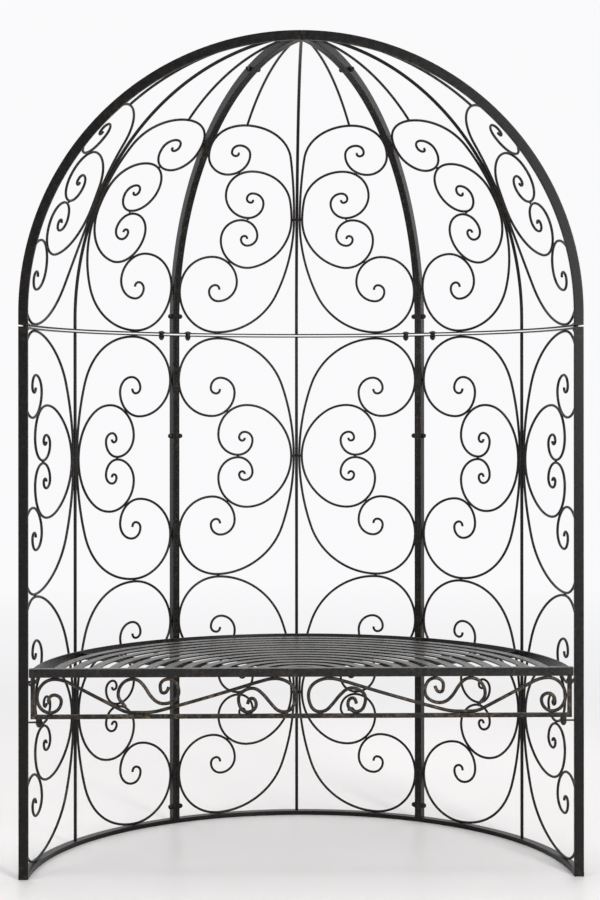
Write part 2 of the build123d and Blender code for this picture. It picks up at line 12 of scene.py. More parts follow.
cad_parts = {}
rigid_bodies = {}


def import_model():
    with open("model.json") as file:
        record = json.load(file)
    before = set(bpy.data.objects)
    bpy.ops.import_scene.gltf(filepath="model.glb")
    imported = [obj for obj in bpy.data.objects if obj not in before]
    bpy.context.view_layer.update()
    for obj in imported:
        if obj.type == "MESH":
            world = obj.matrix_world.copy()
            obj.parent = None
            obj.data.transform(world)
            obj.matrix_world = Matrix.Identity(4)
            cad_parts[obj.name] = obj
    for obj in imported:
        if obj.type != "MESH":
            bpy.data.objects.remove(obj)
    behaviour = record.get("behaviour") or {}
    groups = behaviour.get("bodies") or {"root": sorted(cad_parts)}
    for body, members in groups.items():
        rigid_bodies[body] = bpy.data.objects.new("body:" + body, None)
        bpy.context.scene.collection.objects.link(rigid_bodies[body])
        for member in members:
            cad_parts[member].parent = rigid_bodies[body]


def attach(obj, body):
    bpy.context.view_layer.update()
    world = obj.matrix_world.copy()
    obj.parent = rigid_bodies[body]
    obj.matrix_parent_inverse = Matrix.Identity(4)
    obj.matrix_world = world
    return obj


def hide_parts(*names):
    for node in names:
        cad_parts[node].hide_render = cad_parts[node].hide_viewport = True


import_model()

bl_info = {
    "name": "Garden arbor bench",
    "version": (1, 0, 0),
    "blender": (4, 5, 0),
    "location": "View3D > Sidebar > Arbor",
    "description": "Builds the looks of a scrolled metal garden arbor with a slatted seat",
    "category": "Object",
}

PANELS = {"left": 60.0, "back": 0.0, "right": -60.0}
HALF_PANEL, JOINT_ANGLE, SECOND_JOINT = 30.0, 60.0, 120.0
BEARER_ANGLES = (30.0, 60.0, 90.0, 120.0, 150.0)
HANDS = (("right", False), ("left", True))
SIDES = (-1, 1)
X_AXIS, Y_AXIS, Z_AXIS = (1, 0, 0), (0, 1, 0), (0, 0, 1)
WHITE = (1, 1, 1, 1)

# Steps along the bars, plates and rods
POST_STEPS, RIB_STEPS, RAIL_STEPS, HALF_RING_STEPS = 28, 72, 44, 72
BEAM_STEPS, BEARER_STEPS, APRON_RAIL_STEPS, APRON_POST_STEPS = 40, 10, 60, 8
PLATE_STEPS, HUB_STEPS, WALL_ROD_STEPS = 4, 14, 70
DOME_ROD_SPACING = 0.015

# Steps of round forms: most degrees that a step turns, and numbers of sides
SCROLL_DEGREES, APRON_DEGREES, CLEARANCE_DEGREES = 14, 12, 2
CORNER_STEPS, HEAD_STEPS, TURNED_SIDES, FLOOR_SIDES = 4, 7, 24, 96
PARALLEL = 1e-4

# A rod's cut ends: where the taper starts and how far it is drawn in. The scale of its dents
ROD_END_SHARE, ROD_TAPER_SHARE, DENT_SCALE = 0.15, 0.86, 46.0

# Wear of ends, plates and turned forms, and the angles of sharp edges. The band where the wear fades
# beside a corner is this many corner radii wide, and at most one of so many parts of the side
END_WEAR, PLATE_WEAR, TURNED_WEAR = 0.8, 0.7, 0.6
BAND_CORNERS, BAND_PARTS = 1.5, 6
SHARP_BAR, SHARP_TURNED = 40.0, 34.0

# Shares of a domed head's radius and height, and of a nut's
HEAD_FOOT_SHARE, HEAD_EDGE_SHARE, HEAD_CROWN_SHARE = 0.985, 0.05, 0.04
NUT_FACE_SHARE, NUT_CHAMFER_SHARE = 0.97, 0.10

# Beads: depth in the joint, rise of the bearers' ones, unevenness, turns and scales, and the places
# of the apron's ones under the beam and on the lower rail, in shares of the beam's half length
BEAD_DEPTH, BEARER_BEAD_RISE = 0.001, 0.009
BEAD_LUMPS, BEAD_LUMP_SCALE, BEAD_LUMP_DETAIL = 0.0016, 420.0, 2.0
BEAD_TURNS = ((0, 0, 0), (6.28, 6.28, 6.28))
BEAD_SCALES = ((0.62, 0.62, 0.80), (0.85, 0.85, 1.15))
BEAM_WELD_SHARES = (0.908, 0.098, 0.6215, 0.490)
RAIL_WELD_SHARES = (0.9225, 0.583, 0.066, 0.2005)

# Noises of the coats: scale, detail and roughness
BROAD_NOISE, MOTTLE_NOISE, FINE_NOISE = (9.0, 6.0, 0.6), (85.0, 5.0, 0.65), (650.0, 3.0, 0.5)
GRAIN_SCALE, GRAIN_DETAIL, GRAIN_DEPTH = 1400.0, 2.0, 0.35

# Of each coat: how far it is rubbed, its dust, its speckle and whether the rings' grain shows,
# then the roughness added to it and its shares of the gloss and the sheen
COATS = {
    "frame_coat": (0.06, 0.10, 0.30, False, 0.0, 1.0, 1.0),
    "scroll_coat": (0.42, 0.20, 0.35, False, 0.02, 1.2, 0.0),
    "seat_coat": (0.25, 0.35, 0.30, True, -0.06, 1.6, 1.5),
    "apron_coat": (1.35, 0.30, 0.40, False, 0.0, 1.6, 0.0),
    "fastener_coat": (0.30, 0.20, 0.25, False, -0.05, 1.0, 0.0),
    "weld_coat": (0.10, 0.20, 0.90, False, 0.08, 1.0, 0.0),
}

# Spans of the coats' noises, how much an edge is rubbed and bronze is metal, and how the gloss changes
RUBBED_SPAN, PATCH_SPANS, EDGE_RUB, BRONZE_METAL = (0.46, 0.66), (0.42, 0.72, 0.25, 1.0), 0.55, 0.75
LEVEL_SPAN, DULL_SPAN, DULL_BELOW, DULL_ABOVE, DUST_DULL = (0.55, 0.98), (0.3, 0.7), 0.07, 0.1, 0.4
BUMP_STRENGTH, BUMP_DEPTH, SHEEN_ROUGHNESS = 0.22, 0.0006, 0.3

# The floor fades into the backdrop between two distances, and the backdrop's glow grows paler between two
# others: a painted shade that darkens the glowing floor nearer the object
FLOOR_RADIUS, FLOOR_NOISE, FLOOR_DULL, FLOOR_GLOSS = 30.0, (3.0, 5.0, 0.5), (0.34, 0.46), 0.15
FADE_SPAN, PAINTED_SHADE_SPANS, ROOM_SPAN = (1.2, 3.4), (2.5, 7.0, 0.90, 1.0), (-0.1, 0.7)

# Each lamp's place, size, power setting and the height of what it lights
LAMPS = {
    "key_light": ((2.6, -5.0, 2.5), (1.0, 3.0), "key", 1.1),
    "fill_light": ((-3.6, -2.6, 2.6), (2.0, 2.0), "fill", 1.1),
    "left_rim_light": ((-3.0, 3.4, 2.8), (1.6, 2.6), "rim", 1.0),
    "right_rim_light": ((3.0, 3.4, 2.8), (1.6, 2.6), "rim", 1.0),
    "top_light": ((0.0, 0.2, 5.2), (3.0, 3.0), "top", 0.0),
}
SENSOR_SIDE, CLIP_NEAR, CLIP_FAR = 36.0, 0.1, 100.0

# Stations of the apron's bars: shares of the beam's half length and of the apron's height, and headings
LONG_BAR_SHARES = (
    (-0.9250, 0.26, 100.0), (-0.9290, 0.37, 90.0), (-0.9085, 0.53, 0.0), (-0.8825, 0.34, -90.0),
    (-0.9225, 0.00, -180.0), (-0.9710, 0.45, -270.0), (-0.9080, 1.00, -360.0),
    (-0.8500, 0.875, -387.9), (-0.6650, 0.085, -387.9), (-0.5830, 0.00, -360.0),
    (-0.5200, 0.06, -345.3), (-0.1700, 0.88, -345.3), (-0.0980, 1.00, -360.0),
    (-0.0235, 0.50, -450.0), (-0.0660, 0.00, -540.0), (-0.1260, 0.37, -592.0),
    (-0.1950, 0.70, -525.3), (-0.2335, 0.39, -450.0), (-0.2005, 0.00, -360.0),
    (-0.1685, 0.23, -270.0), (-0.1850, 0.41, -180.0), (-0.2000, 0.24, -100.0))
SHORT_BAR_SHARES = (
    (-0.6470, 0.16, 125.0), (-0.6745, 0.54, 90.0), (-0.6215, 1.00, 0.0), (-0.5660, 0.62, -60.0),
    (-0.5070, 0.26, 0.0), (-0.4520, 0.62, 90.0), (-0.4900, 1.00, 180.0), (-0.5205, 0.79, 270.0),
    (-0.5080, 0.58, 360.0), (-0.4890, 0.76, 430.0))


def length(name, text, value):
    """A length property in metres."""
    return FloatProperty(name=name, description=text, default=value, precision=4, unit="LENGTH")


def share(name, text, value):
    """A dimensionless property between nought and one."""
    return FloatProperty(name=name, description=text, default=value, min=0.0, max=1.0, subtype="FACTOR")


def curl_shares(name, text, values):
    """Four shares, such as the radii of a curl's quarter turns in a panel's half widths."""
    return FloatVectorProperty(name=name, description=text, default=values, size=4, min=0.0, max=1.0)


def number(name, text, value):
    """A property in degrees, watts or millimetres, or a strength."""
    return FloatProperty(name=name, description=text, default=value)


def colour(name, text, value):
    """A linear colour property."""
    return FloatVectorProperty(name=name, description=text, subtype="COLOR", default=value, size=3)


class ArborSizes(bpy.types.PropertyGroup):
    """Sizes of the tubes, rails and panels"""
    outer_radius: length("Outer radius", "From the arbor's axis to the outside of its tubes", 0.725)
    tube_depth: length("Tube depth", "Radial side of the flat tube", 0.025)
    tube_width: length("Tube width", "Tangential side of the flat tube", 0.010)
    tube_corner: length("Tube corner", "Radius of the tube's long edges", 0.0015)
    wall_height: length("Wall height", "From the floor to the top of the wall panels", 1.414)
    foot_rail: length("Foot rail thickness", "Thickness of the curved rails on the floor", 0.012)
    rail: length("Ring rail thickness", "Thickness of the ring's curved flats", 0.003)
    rail_corner: length("Rail corner", "Radius of the flats' long edges", 0.0009)
    ring_gap: length("Ring gap", "Gap between the wall's and the dome's rails", 0.0045)
    stub: length("Stub", "Straight foot of a rib below its bend", 0.0275)
    joint_gap: length("Joint gap", "Gap between the tubes of neighbouring panels", 0.0003)
    touch_gap: length("Touch gap", "Gap between pieces that are welded together", 0.0003)


class ArborScrolls(bpy.types.PropertyGroup):
    """Sizes of the scrolls' wire and of the walls' scrolls, which are shares of a panel's half width"""
    wire: length("Wire", "Diameter of the scrolls' wire", 0.007)
    rod: length("Centre rod", "Diameter of the panels' centre rods", 0.009)
    rise: share("Rise", "Radius of a large scroll's shoulder", 0.568)
    loop: share("Loop", "Radius of a large scroll's loop", 0.343)
    curls: curl_shares("Curls", "Radii of a large scroll's curl", (0.193, 0.120, 0.083, 0.046))
    tip: share("Tip", "Radius of a large scroll's tip", 0.032)
    small_height: share("Small height", "Height of a small scroll against the large one's", 0.434)
    small_reach: share("Small reach", "Reach of a small scroll's back", 0.369)
    small_rise: share("Small rise", "Radius of a small scroll's shoulder", 0.310)
    small_outer: share("Small outer", "Share of a small scroll's height in its outer loop", 0.590)
    small_curls: curl_shares("Small curls", "Radii of a small scroll's curl", (0.121, 0.067, 0.045, 0.027))
    small_tip: share("Small tip", "Radius of a small scroll's tip", 0.020)
    tip_turn: number("Tip turn", "Degrees that the last arc turns", 100.0)
    sides: IntProperty(name="Sides", description="Sides of a wire's section", default=14, min=8, max=32)
    spacing: length("Spacing", "Distance between a wire's rings", 0.006)
    dent: length("Dent", "Unevenness left by cold bending", 0.00016)


class ArborDome(bpy.types.PropertyGroup):
    """Sizes of the dome's scrolls and side rods: heights are shares of the middle radius"""
    mid: share("Middle", "Height along the dome of its scrolls' middles", 0.441)
    top: share("Top", "Height along the dome of its scrolls' tops", 0.875)
    up_rise: share("Upper rise", "Radius of a large scroll's upper shoulder", 0.351)
    up_loop: share("Upper loop", "Radius of a large scroll's upper loop", 0.326)
    up_curls: curl_shares("Upper curls", "Radii of a large scroll's upper curl", (0.196, 0.080, 0.071, 0.031))
    up_tip: share("Upper tip", "Radius of a large scroll's upper tip", 0.026)
    low_rise: share("Lower rise", "Radius of a large scroll's lower shoulder", 0.559)
    low_loop: share("Lower loop", "Radius of a large scroll's lower loop", 0.321)
    low_curls: curl_shares("Lower curls", "Radii of a large scroll's lower curl",
                           (0.200, 0.162, 0.075, 0.056))
    low_tip: share("Lower tip", "Radius of a large scroll's lower tip", 0.032)
    small_up: curl_shares("Small upper half", "Height, reach, shoulder and loop of a small scroll",
                          (0.212, 0.314, 0.305, 0.553))
    small_down: curl_shares("Small lower half", "Height, reach, shoulder and loop of a small scroll",
                            (0.206, 0.366, 0.193, 0.553))
    curls: curl_shares("Small curls", "Radii of a small scroll's curl", (0.128, 0.086, 0.050, 0.031))
    tip: share("Small tip", "Radius of a small scroll's tip", 0.020)
    gap: length("Touch gap", "Gap where the dome's scrolls meet", 0.0006)
    side_reach: share("Side rod reach", "Plan distance from the axis to a side rod's end", 0.077)


class ArborSeat(bpy.types.PropertyGroup):
    """Sizes of the seat and its apron"""
    height: length("Seat height", "From the floor to the beam's top", 0.538)
    beam: length("Beam", "Side of the square front beam", 0.022)
    side_gap: length("Side gap", "Gap between the beam and a front post", 0.002)
    radius: length("Seat radius", "Outer radius of the rim", 0.690)
    rim_height: length("Rim height", "Height of the rim's flat", 0.025)
    rim: length("Rim thickness", "Thickness of the rim's flat", 0.004)
    slat_width: length("Slat width", "Width of a slat", 0.025)
    slat: length("Slat thickness", "Thickness of a slat", 0.004)
    pitch: length("Slat pitch", "Distance from slat to slat", 0.0468)
    drop: length("Slat drop", "How far the slats lie below the rim", 0.003)
    end_gap: length("Slat end gap", "Gap between the beam and what is behind it", 0.0003)
    inset: length("Outer slat inset", "Gap between the rim and the outermost slat", 0.0462)
    hub: length("Hub radius", "Radius of the half disc at the centre", 0.031)
    bearer: length("Bearer", "Thickness of the flats under the slats", 0.004)
    apron: length("Apron", "From the beam's underside to the lower rail", 0.095)
    bar: length("Apron bar", "Side of the square bar of the apron's frame", 0.011)
    end_inset: length("End inset", "From the beam's end to the apron's end post", 0.004)
    scroll: length("Apron scroll", "Diameter of the apron's scrolled bars", 0.009)
    tab: length("Tab thickness", "Thickness of the support plates", 0.003)
    tab_length: length("Tab length", "Length of a front tab", 0.038)
    tab_width: length("Tab width", "Width of a front tab", 0.013)
    tab_drop: length("Tab drop", "Gap between the lower rail and a tab", 0.007)
    hanger_inset: length("Hanger inset", "From a front post's face to the hanger bolt", 0.027)
    ledge_length: length("Ledge length", "Length of a back ledge", 0.036)
    ledge_width: length("Ledge width", "Width of a back ledge", 0.020)


class ArborFasteners(bpy.types.PropertyGroup):
    """Sizes of bolts, nuts and weld beads"""
    bolt: length("Bolt", "Diameter of a bolt's shank", 0.006)
    head: length("Joint head", "Diameter of a joint bolt's head", 0.014)
    head_height: length("Joint head height", "Height of a joint bolt's head", 0.0105)
    joint_nut: length("Joint nut height", "Height of a joint bolt's domed nut", 0.015)
    nut: length("Nut width", "Width across a nut's flats", 0.014)
    ring_head: length("Ring head", "Diameter of a ring bolt's head", 0.022)
    ring_head_height: length("Ring head height", "Height of a ring bolt's head", 0.005)
    cap_height: length("Cap nut height", "Height of a domed nut", 0.012)
    ring_inset: length("Ring bolt inset", "Arc from a joint to a ring bolt", 0.043)
    low_bolt: length("Low bolt", "Height of a joint's lower bolt", 0.046)
    high_bolt: length("High bolt", "Height of a joint's upper bolt", 1.122)
    rib_low: number("Lower rib bolt", "Degrees of a rib's lower bolt above the springing", 1.6)
    rib_high: number("Upper rib bolt", "Degrees of a rib's upper bolt above the springing", 69.0)
    screw_drop: length("Screw drop", "From the beam's underside to a side screw", 0.011)
    screw_head: length("Screw head", "Diameter of a side screw's head", 0.010)
    screw_head_height: length("Screw head height", "Height of a side screw's head", 0.003)
    screw_bite: length("Screw bite", "How far a side screw reaches into the post", 0.007)
    washer_play: length("Spacer play", "Gap above and below a ring's spacer", 0.0002)
    bead: length("Weld bead", "Half length of a weld bead", 0.0042)
    bead_seed: IntProperty(name="Bead seed", description="Seed of the beads' variation", default=7)


class ArborFinish(bpy.types.PropertyGroup):
    """Colours and surface of the coated metal"""
    coat: colour("Coat", "Colour of the coat", (0.0032, 0.0030, 0.0032))
    coat_pale: colour("Pale coat", "Colour of the coat where it is thin", (0.0075, 0.0068, 0.0062))
    bronze: colour("Bronze", "Colour of the rubbed crowns", (0.150, 0.112, 0.074))
    dust: colour("Dust", "Colour of dust on level faces", (0.20, 0.19, 0.18))
    floor: colour("Floor", "Colour of the floor", (0.96, 0.94, 0.935))
    backdrop: colour("Backdrop", "Colour of the background", (0.955, 0.95, 0.965))
    roughness: share("Roughness", "Roughness of the coat", 0.36)
    gloss: share("Gloss", "Specular level of the frame's coat", 0.21)
    sheen: share("Sheen", "Pale bloom of the coat at flat angles", 0.10)


class ArborStage(bpy.types.PropertyGroup):
    """Camera and lights"""
    distance: length("Distance", "From the arbor's front to the camera", 4.554)
    side: length("Side", "How far the camera stands to the right", -0.104)
    eye: length("Eye height", "Height of the camera", 1.221)
    lens: number("Lens", "Focal length in millimetres on a 36 mm side", 71.12)
    pitch: number("Pitch", "Degrees that the camera looks down", 0.0)
    yaw: number("Yaw", "Degrees that the camera turns to the left", -1.245)
    roll: number("Roll", "Degrees that the camera leans", -0.029)
    shift: number("Shift", "Shift of the lens up the frame", -0.0536)
    ambient: number("Ambient", "Strength of the room's light", 0.74)
    front_share: share("Front share", "Share of the room's light that comes from the camera's side", 0.25)
    key: number("Key", "Watts of the light on the right", 190.0)
    fill: number("Fill", "Watts of the light on the left", 45.0)
    rim: number("Rim", "Watts of each light behind", 30.0)
    top: number("Top", "Watts of the light overhead", 95.0)


def settings():
    """The settings of sizes, scrolls, seat and fasteners, and the sizes d that follow from them."""
    scene = bpy.context.scene
    s, c, t, f = scene.arbor_sizes, scene.arbor_scrolls, scene.arbor_seat, scene.arbor_fasteners
    d = SimpleNamespace()
    d.inner = s.outer_radius - s.tube_depth
    d.mid = s.outer_radius - s.tube_depth / 2
    d.front = -s.outer_radius / 2
    d.half = math.radians(HALF_PANEL)
    d.dome_base = s.wall_height + s.ring_gap
    d.springing = d.dome_base + s.rail + s.stub
    d.tube_reach = s.joint_gap / 2 + s.tube_width
    d.post_middle = d.tube_reach - s.tube_width / 2
    d.module = (s.wall_height - s.foot_rail - s.rail) / 2
    d.first_back = c.rod / 2 + s.touch_gap + c.wire / 2
    d.second_back = d.first_back + c.wire + s.touch_gap
    d.beam_under = t.height - t.beam
    d.beam_back = t.beam + t.end_gap
    d.apron_floor = d.beam_under - t.apron
    d.beam_half = d.inner - t.side_gap
    d.end_outer = d.beam_half - t.end_inset
    d.seat_under = t.height - t.rim_height
    return s, c, t, f, d


def place(point, turn=0.0, flip=False):
    """A point about the arbor's axis, mirrored where wanted, turned by degrees and moved into the frame."""
    x = -point[0] if flip else point[0]
    y = point[1]
    a = math.radians(turn)
    front = -bpy.context.scene.arbor_sizes.outer_radius / 2
    return Vector((x * math.cos(a) - y * math.sin(a), x * math.sin(a) + y * math.cos(a) + front, point[2]))


def polar(radius, angle, height):
    """A point at a radius and an angle about the arbor's axis."""
    return Vector((radius * math.cos(angle), radius * math.sin(angle), height))


def on_wall(across, height, d):
    """A point on the middle of the wall's thickness."""
    return polar(d.mid, math.pi / 2 - across / d.mid, height)


def on_dome(across, climb, d):
    """A point on the middle of the dome's thickness."""
    lift = max(climb, 0.0) / d.mid
    ring = d.mid * math.cos(lift)
    return polar(ring, math.pi / 2 - across / ring, d.springing + min(climb, 0.0) + d.mid * math.sin(lift))


def half_width(radius, clearance, d):
    """Arc length from a panel's centre to a clearance from its side tube."""
    return radius * (d.half - math.asin((d.tube_reach + clearance) / radius))


def arc_points(across, height, heading, arcs, spacing):
    """Points along a chain of arcs, each a radius and a signed turn in degrees."""
    points = [(across, height)]
    for radius, turn in arcs:
        steps = max(2, math.ceil(abs(math.radians(turn)) * radius / spacing),
                    math.ceil(abs(turn) / SCROLL_DEGREES))
        step = math.radians(turn) / steps
        side = 1 if turn > 0 else -1
        for _ in range(steps):
            across -= side * radius * (math.sin(heading) - math.sin(heading + step))
            height += side * radius * (math.cos(heading) - math.cos(heading + step))
            heading += step
            points.append((across, height))
    return points


def two_arc_quarter(reach, rise, end_radius):
    """Radius and turn of the flatter first arc of a quarter turn with two radii."""
    half = math.atan((reach - end_radius) / (rise - end_radius))
    return end_radius + (rise - end_radius) / math.sin(2 * half), math.degrees(2 * half)


def half_arcs(reach, height, rise, loops, radii, tip):
    """Arcs of half a scroll: its back and shoulder, two loops, its curl and its tip."""
    back, turn = two_arc_quarter(reach, height, rise)
    arcs = [(back, turn), (rise, 90.0 - turn)] + [(radius, 90.0) for radius in (*loops, *radii)]
    return arcs + [(tip, bpy.context.scene.arbor_scrolls.tip_turn)]


def small_half(reach, rise, height, outer_share, radii, tip):
    """Arcs of half a small scroll, with the centre and radius of its outer loop."""
    s, c, t, f, d = settings()
    loops = height - c.wire / 2 - s.touch_gap / 2
    outer = loops * outer_share
    arcs = half_arcs(reach, height, rise, (outer, loops - outer), radii, tip)
    return arcs, (d.second_back + reach, height - outer, outer)


def large_half(left, height, rise, loop, radii, tip, small, gap):
    """Arcs of half a large scroll that touches the post, the rail and a small scroll."""
    s, c, t, f, d = settings()
    side, up = left - small[0], height - loop + radii[0] - small[1]
    total = radii[0] + small[2] + c.wire + gap
    joined = (side + up - math.sqrt(2 * total * total - (side - up) ** 2)) / 2
    arcs = half_arcs(left - loop - d.first_back, height, rise, (loop, joined), radii, tip)
    curl = Vector((left - joined, height - loop + radii[0] - joined))
    ring = Vector(small[:2])
    return arcs, ring + (curl - ring).normalized() * (small[2] + c.wire / 2)


def scroll_line(back, middle, upper, lower):
    """Flat points of a scroll from its lower tip to its upper one."""
    spacing = bpy.context.scene.arbor_scrolls.spacing
    rising = arc_points(back, middle, math.pi / 2, [(r, -turn) for r, turn in upper], spacing)
    falling = arc_points(back, middle, -math.pi / 2, lower, spacing)
    return falling[:0:-1] + rising


def wall_lines():
    """A large and a small wall scroll, right of the rod in the lower module, and their welds."""
    s, c, t, f, d = settings()
    width = half_width(d.mid, c.wire / 2 + s.touch_gap, d)
    height = d.module / 2 - c.wire / 2 - s.touch_gap / 2
    middle = s.foot_rail + d.module / 2
    low = c.small_height * height
    small, ring = small_half(c.small_reach * width, c.small_rise * width, low, c.small_outer,
                             [k * width for k in c.small_curls], c.small_tip * width)
    large, met = large_half(width, height, c.rise * width, c.loop * width, [k * width for k in c.curls],
                            c.tip * width, ring, s.touch_gap)
    welds = [(d.first_back - c.wire / 2, middle), (d.second_back - c.wire / 2, middle),
             (ring[0] + 2 * ring[2] - low + c.wire / 2, middle)]
    for side in SIDES:
        welds += [(width + c.wire / 2, middle + side * (height - c.loop * width)),
                  (width - c.loop * width, middle + side * (height + c.wire / 2)),
                  (met.x, middle + side * met.y)]
    return (scroll_line(d.first_back, middle, large, large),
            scroll_line(d.second_back, middle, small, small), welds)


def widest_centre(level, radius):
    """How far across the gore a loop's centre may lie and clear the rib."""
    s, c, t, f, d = settings()
    best = math.inf
    for angle in map(math.radians, range(-90, 91, CLEARANCE_DEGREES)):
        ring = d.mid * math.cos(max(level + radius * math.sin(angle), 0.0) / d.mid)
        best = min(best, half_width(ring, c.wire / 2 + s.touch_gap, d) - radius * math.cos(angle))
    return best


def dome_top_place():
    """Arc lengths across and up of the highest point of a large dome scroll."""
    s, c, t, f, d = settings()
    g = bpy.context.scene.arbor_dome
    loop = g.up_loop * half_width(d.mid, c.wire / 2 + s.touch_gap, d)
    return widest_centre(g.top * d.mid - loop, loop), g.top * d.mid


def dome_lines():
    """A large and a small dome scroll right of the rod, and their welds."""
    s, c, t, f, d = settings()
    g = bpy.context.scene.arbor_dome
    reach = c.wire / 2 + s.touch_gap
    width = half_width(d.mid, reach, d)
    middle, top = g.mid * d.mid, g.top * d.mid
    curls = [k * width for k in g.curls]
    (small_up, ring_up), (small_down, ring_down) = (
        small_half(back * width, rise * width, height * d.mid, outer, curls, g.tip * width)
        for height, back, rise, outer in (g.small_up, g.small_down))
    loop, low_loop = g.up_loop * width, g.low_loop * width
    left = dome_top_place()[0] + loop
    low_left = widest_centre(low_loop - s.stub + reach, low_loop) + low_loop
    upper, met_up = large_half(left, top - middle, g.up_rise * width, loop,
                               [k * width for k in g.up_curls], g.up_tip * width, ring_up, g.gap)
    lower, met_down = large_half(low_left, middle + s.stub - reach, g.low_rise * width, low_loop,
                                 [k * width for k in g.low_curls], g.low_tip * width, ring_down, g.gap)
    welds = [(d.first_back - c.wire / 2, middle), (d.second_back - c.wire / 2, middle),
             (ring_up[0] + 2 * ring_up[2] - g.small_up[0] * d.mid + c.wire / 2, middle),
             (low_left - low_loop, -s.stub), (left - loop, top + c.wire / 2),
             (met_up.x, middle + met_up.y), (met_down.x, middle - met_down.y)]
    return (scroll_line(d.first_back, middle, upper, lower),
            scroll_line(d.second_back, middle, small_up, small_down), welds)


def great_arc(start, end, centre):
    """Points along the great circle about a centre from a start to an end."""
    a, b = start - centre, end - centre
    angle = a.angle(b)
    steps = math.ceil(angle * a.length / DOME_ROD_SPACING)
    turn = a.cross(b).normalized()
    return [centre + Quaternion(turn, angle * k / steps) @ a for k in range(steps + 1)]


def side_rod():
    """Points of the rod from a large dome scroll up to the rib."""
    s, c, t, f, d = settings()
    reach = bpy.context.scene.arbor_dome.side_reach * d.mid
    across, climb = dome_top_place()
    start = on_dome(across, climb + c.wire / 2 + s.touch_gap, d)
    side = d.half - math.asin((d.tube_reach + c.wire / 2 + s.touch_gap) / reach)
    end = polar(reach, math.pi / 2 - side, d.springing + math.sqrt(d.mid ** 2 - reach ** 2))
    return great_arc(start, end, Vector((0, 0, d.springing)))


def dome_rod():
    """Points of a gore's centre rod."""
    s, c, t, f, d = settings()
    reach = (d.tube_reach + c.rod / 2 + s.touch_gap) / math.sin(d.half)
    end = Vector((0, reach, d.springing + math.sqrt(d.mid ** 2 - reach ** 2)))
    crown = Vector((0, d.mid, d.springing))
    foot = Vector((0, d.mid, d.springing - s.stub))
    return [foot, foot.lerp(crown, 0.5)] + great_arc(crown, end, Vector((0, 0, d.springing)))


def wall_rod():
    """Points of a wall panel's centre rod."""
    s, c, t, f, d = settings()
    foot, top = Vector((0, d.mid, s.foot_rail)), Vector((0, d.mid, s.wall_height - s.rail))
    return [foot.lerp(top, k / WALL_ROD_STEPS) for k in range(WALL_ROD_STEPS + 1)]


def flat_arc(start, leave, end, spacing):
    """Points of the arc that leaves a start in a direction and ends at an end, in a plane."""
    chord = end - start
    turn = 2 * leave.angle_signed(chord)
    if abs(turn) < PARALLEL:
        steps = max(1, math.ceil(chord.length / spacing))
        return [start.lerp(end, k / steps) for k in range(1, steps + 1)]
    radius = chord.length / (2 * math.sin(abs(turn) / 2))
    steps = max(2, math.ceil(abs(turn) * radius / spacing),
                math.ceil(math.degrees(abs(turn)) / APRON_DEGREES))
    side = -1 if turn > 0 else 1
    centre = start + Vector((-leave.y, leave.x)) * (side * radius)
    return [centre + Matrix.Rotation(-turn * k / steps, 2) @ (start - centre) for k in range(1, steps + 1)]


def apron_line(table):
    """Points of an apron bar through its stations, by pairs of tangent arcs."""
    s, c, t, f, d = settings()
    low = d.apron_floor + t.scroll / 2 + s.touch_gap / 2
    room = t.apron - t.scroll - s.touch_gap
    stations = []
    for across, climb, heading in table:
        a = math.radians(heading)
        stations.append((Vector((across * d.beam_half, low + climb * room)),
                         Vector((math.cos(a), math.sin(a)))))
    line = [stations[0][0]]
    for (start, leave), (end, arrive) in zip(stations, stations[1:]):
        chord = end - start
        spread = 2 * (1 - leave.dot(arrive))
        if spread < PARALLEL:
            line += flat_arc(start, leave, end, c.spacing)
            continue
        along = chord.dot(leave + arrive)
        reach = (math.sqrt(along * along + spread * chord.dot(chord)) - along) / spread
        first, second = start + leave * reach, end - arrive * reach
        middle = (first + second) / 2
        line += flat_arc(start, leave, middle, c.spacing)
        line += flat_arc(middle, (second - first).normalized(), end, c.spacing)
    return [Vector((p.x, t.bar / 2, p.y)) for p in line]


def add_node(tree, kind, inputs=None, **fields):
    """A node with its fields set, and its inputs set or joined by name or number."""
    node = tree.nodes.new(kind)
    for key, value in fields.items():
        setattr(node, key, value)
    for key, value in (inputs or {}).items():
        if isinstance(value, bpy.types.NodeSocket):
            tree.links.new(value, node.inputs[key])
        else:
            node.inputs[key].default_value = value
    return node


def maths(tree, operation, *values, clamp=False):
    """The result of a sum on two or three values."""
    return add_node(tree, "ShaderNodeMath", dict(enumerate(values)), operation=operation,
                    use_clamp=clamp).outputs[0]


def ranged(tree, value, low, high, new_low=0.0, new_high=1.0, **fields):
    """A value mapped from one span to another."""
    spans = {"From Min": low, "From Max": high, "To Min": new_low, "To Max": new_high}
    return add_node(tree, "ShaderNodeMapRange", {"Value": value, **spans}, **fields).outputs[0]


def blend(tree, factor, first, second):
    """A mix of two colours."""
    return add_node(tree, "ShaderNodeMix", {0: factor, 6: first, 7: second}, data_type="RGBA").outputs[2]


def shader_mix(tree, factor, first, second):
    """A mix of two shaders."""
    mix = add_node(tree, "ShaderNodeMixShader", {0: factor, 1: first.outputs[0], 2: second.outputs[0]})
    return mix.outputs[0]


def noise(tree, coords, scale, detail, roughness):
    """Noise in space."""
    node = add_node(tree, "ShaderNodeTexNoise", {
        "Vector": coords, "Scale": scale, "Detail": detail, "Roughness": roughness})
    return node.outputs["Fac"]


def fresh_tree(owner):
    """The emptied node tree of a material or a world."""
    owner.use_nodes = True
    owner.node_tree.nodes.clear()
    return owner.node_tree


def new_group(name, **sockets):
    """A Geometry Nodes group with named inputs, and its input node."""
    tree = bpy.data.node_groups.new(name, "GeometryNodeTree")
    for label, kind in {"Geometry": "Geometry", **sockets, "Material": "Material"}.items():
        tree.interface.new_socket(label, in_out="INPUT", socket_type="NodeSocket" + kind)
    tree.interface.new_socket("Geometry", in_out="OUTPUT", socket_type="NodeSocketGeometry")
    return tree, tree.nodes.new("NodeGroupInput").outputs


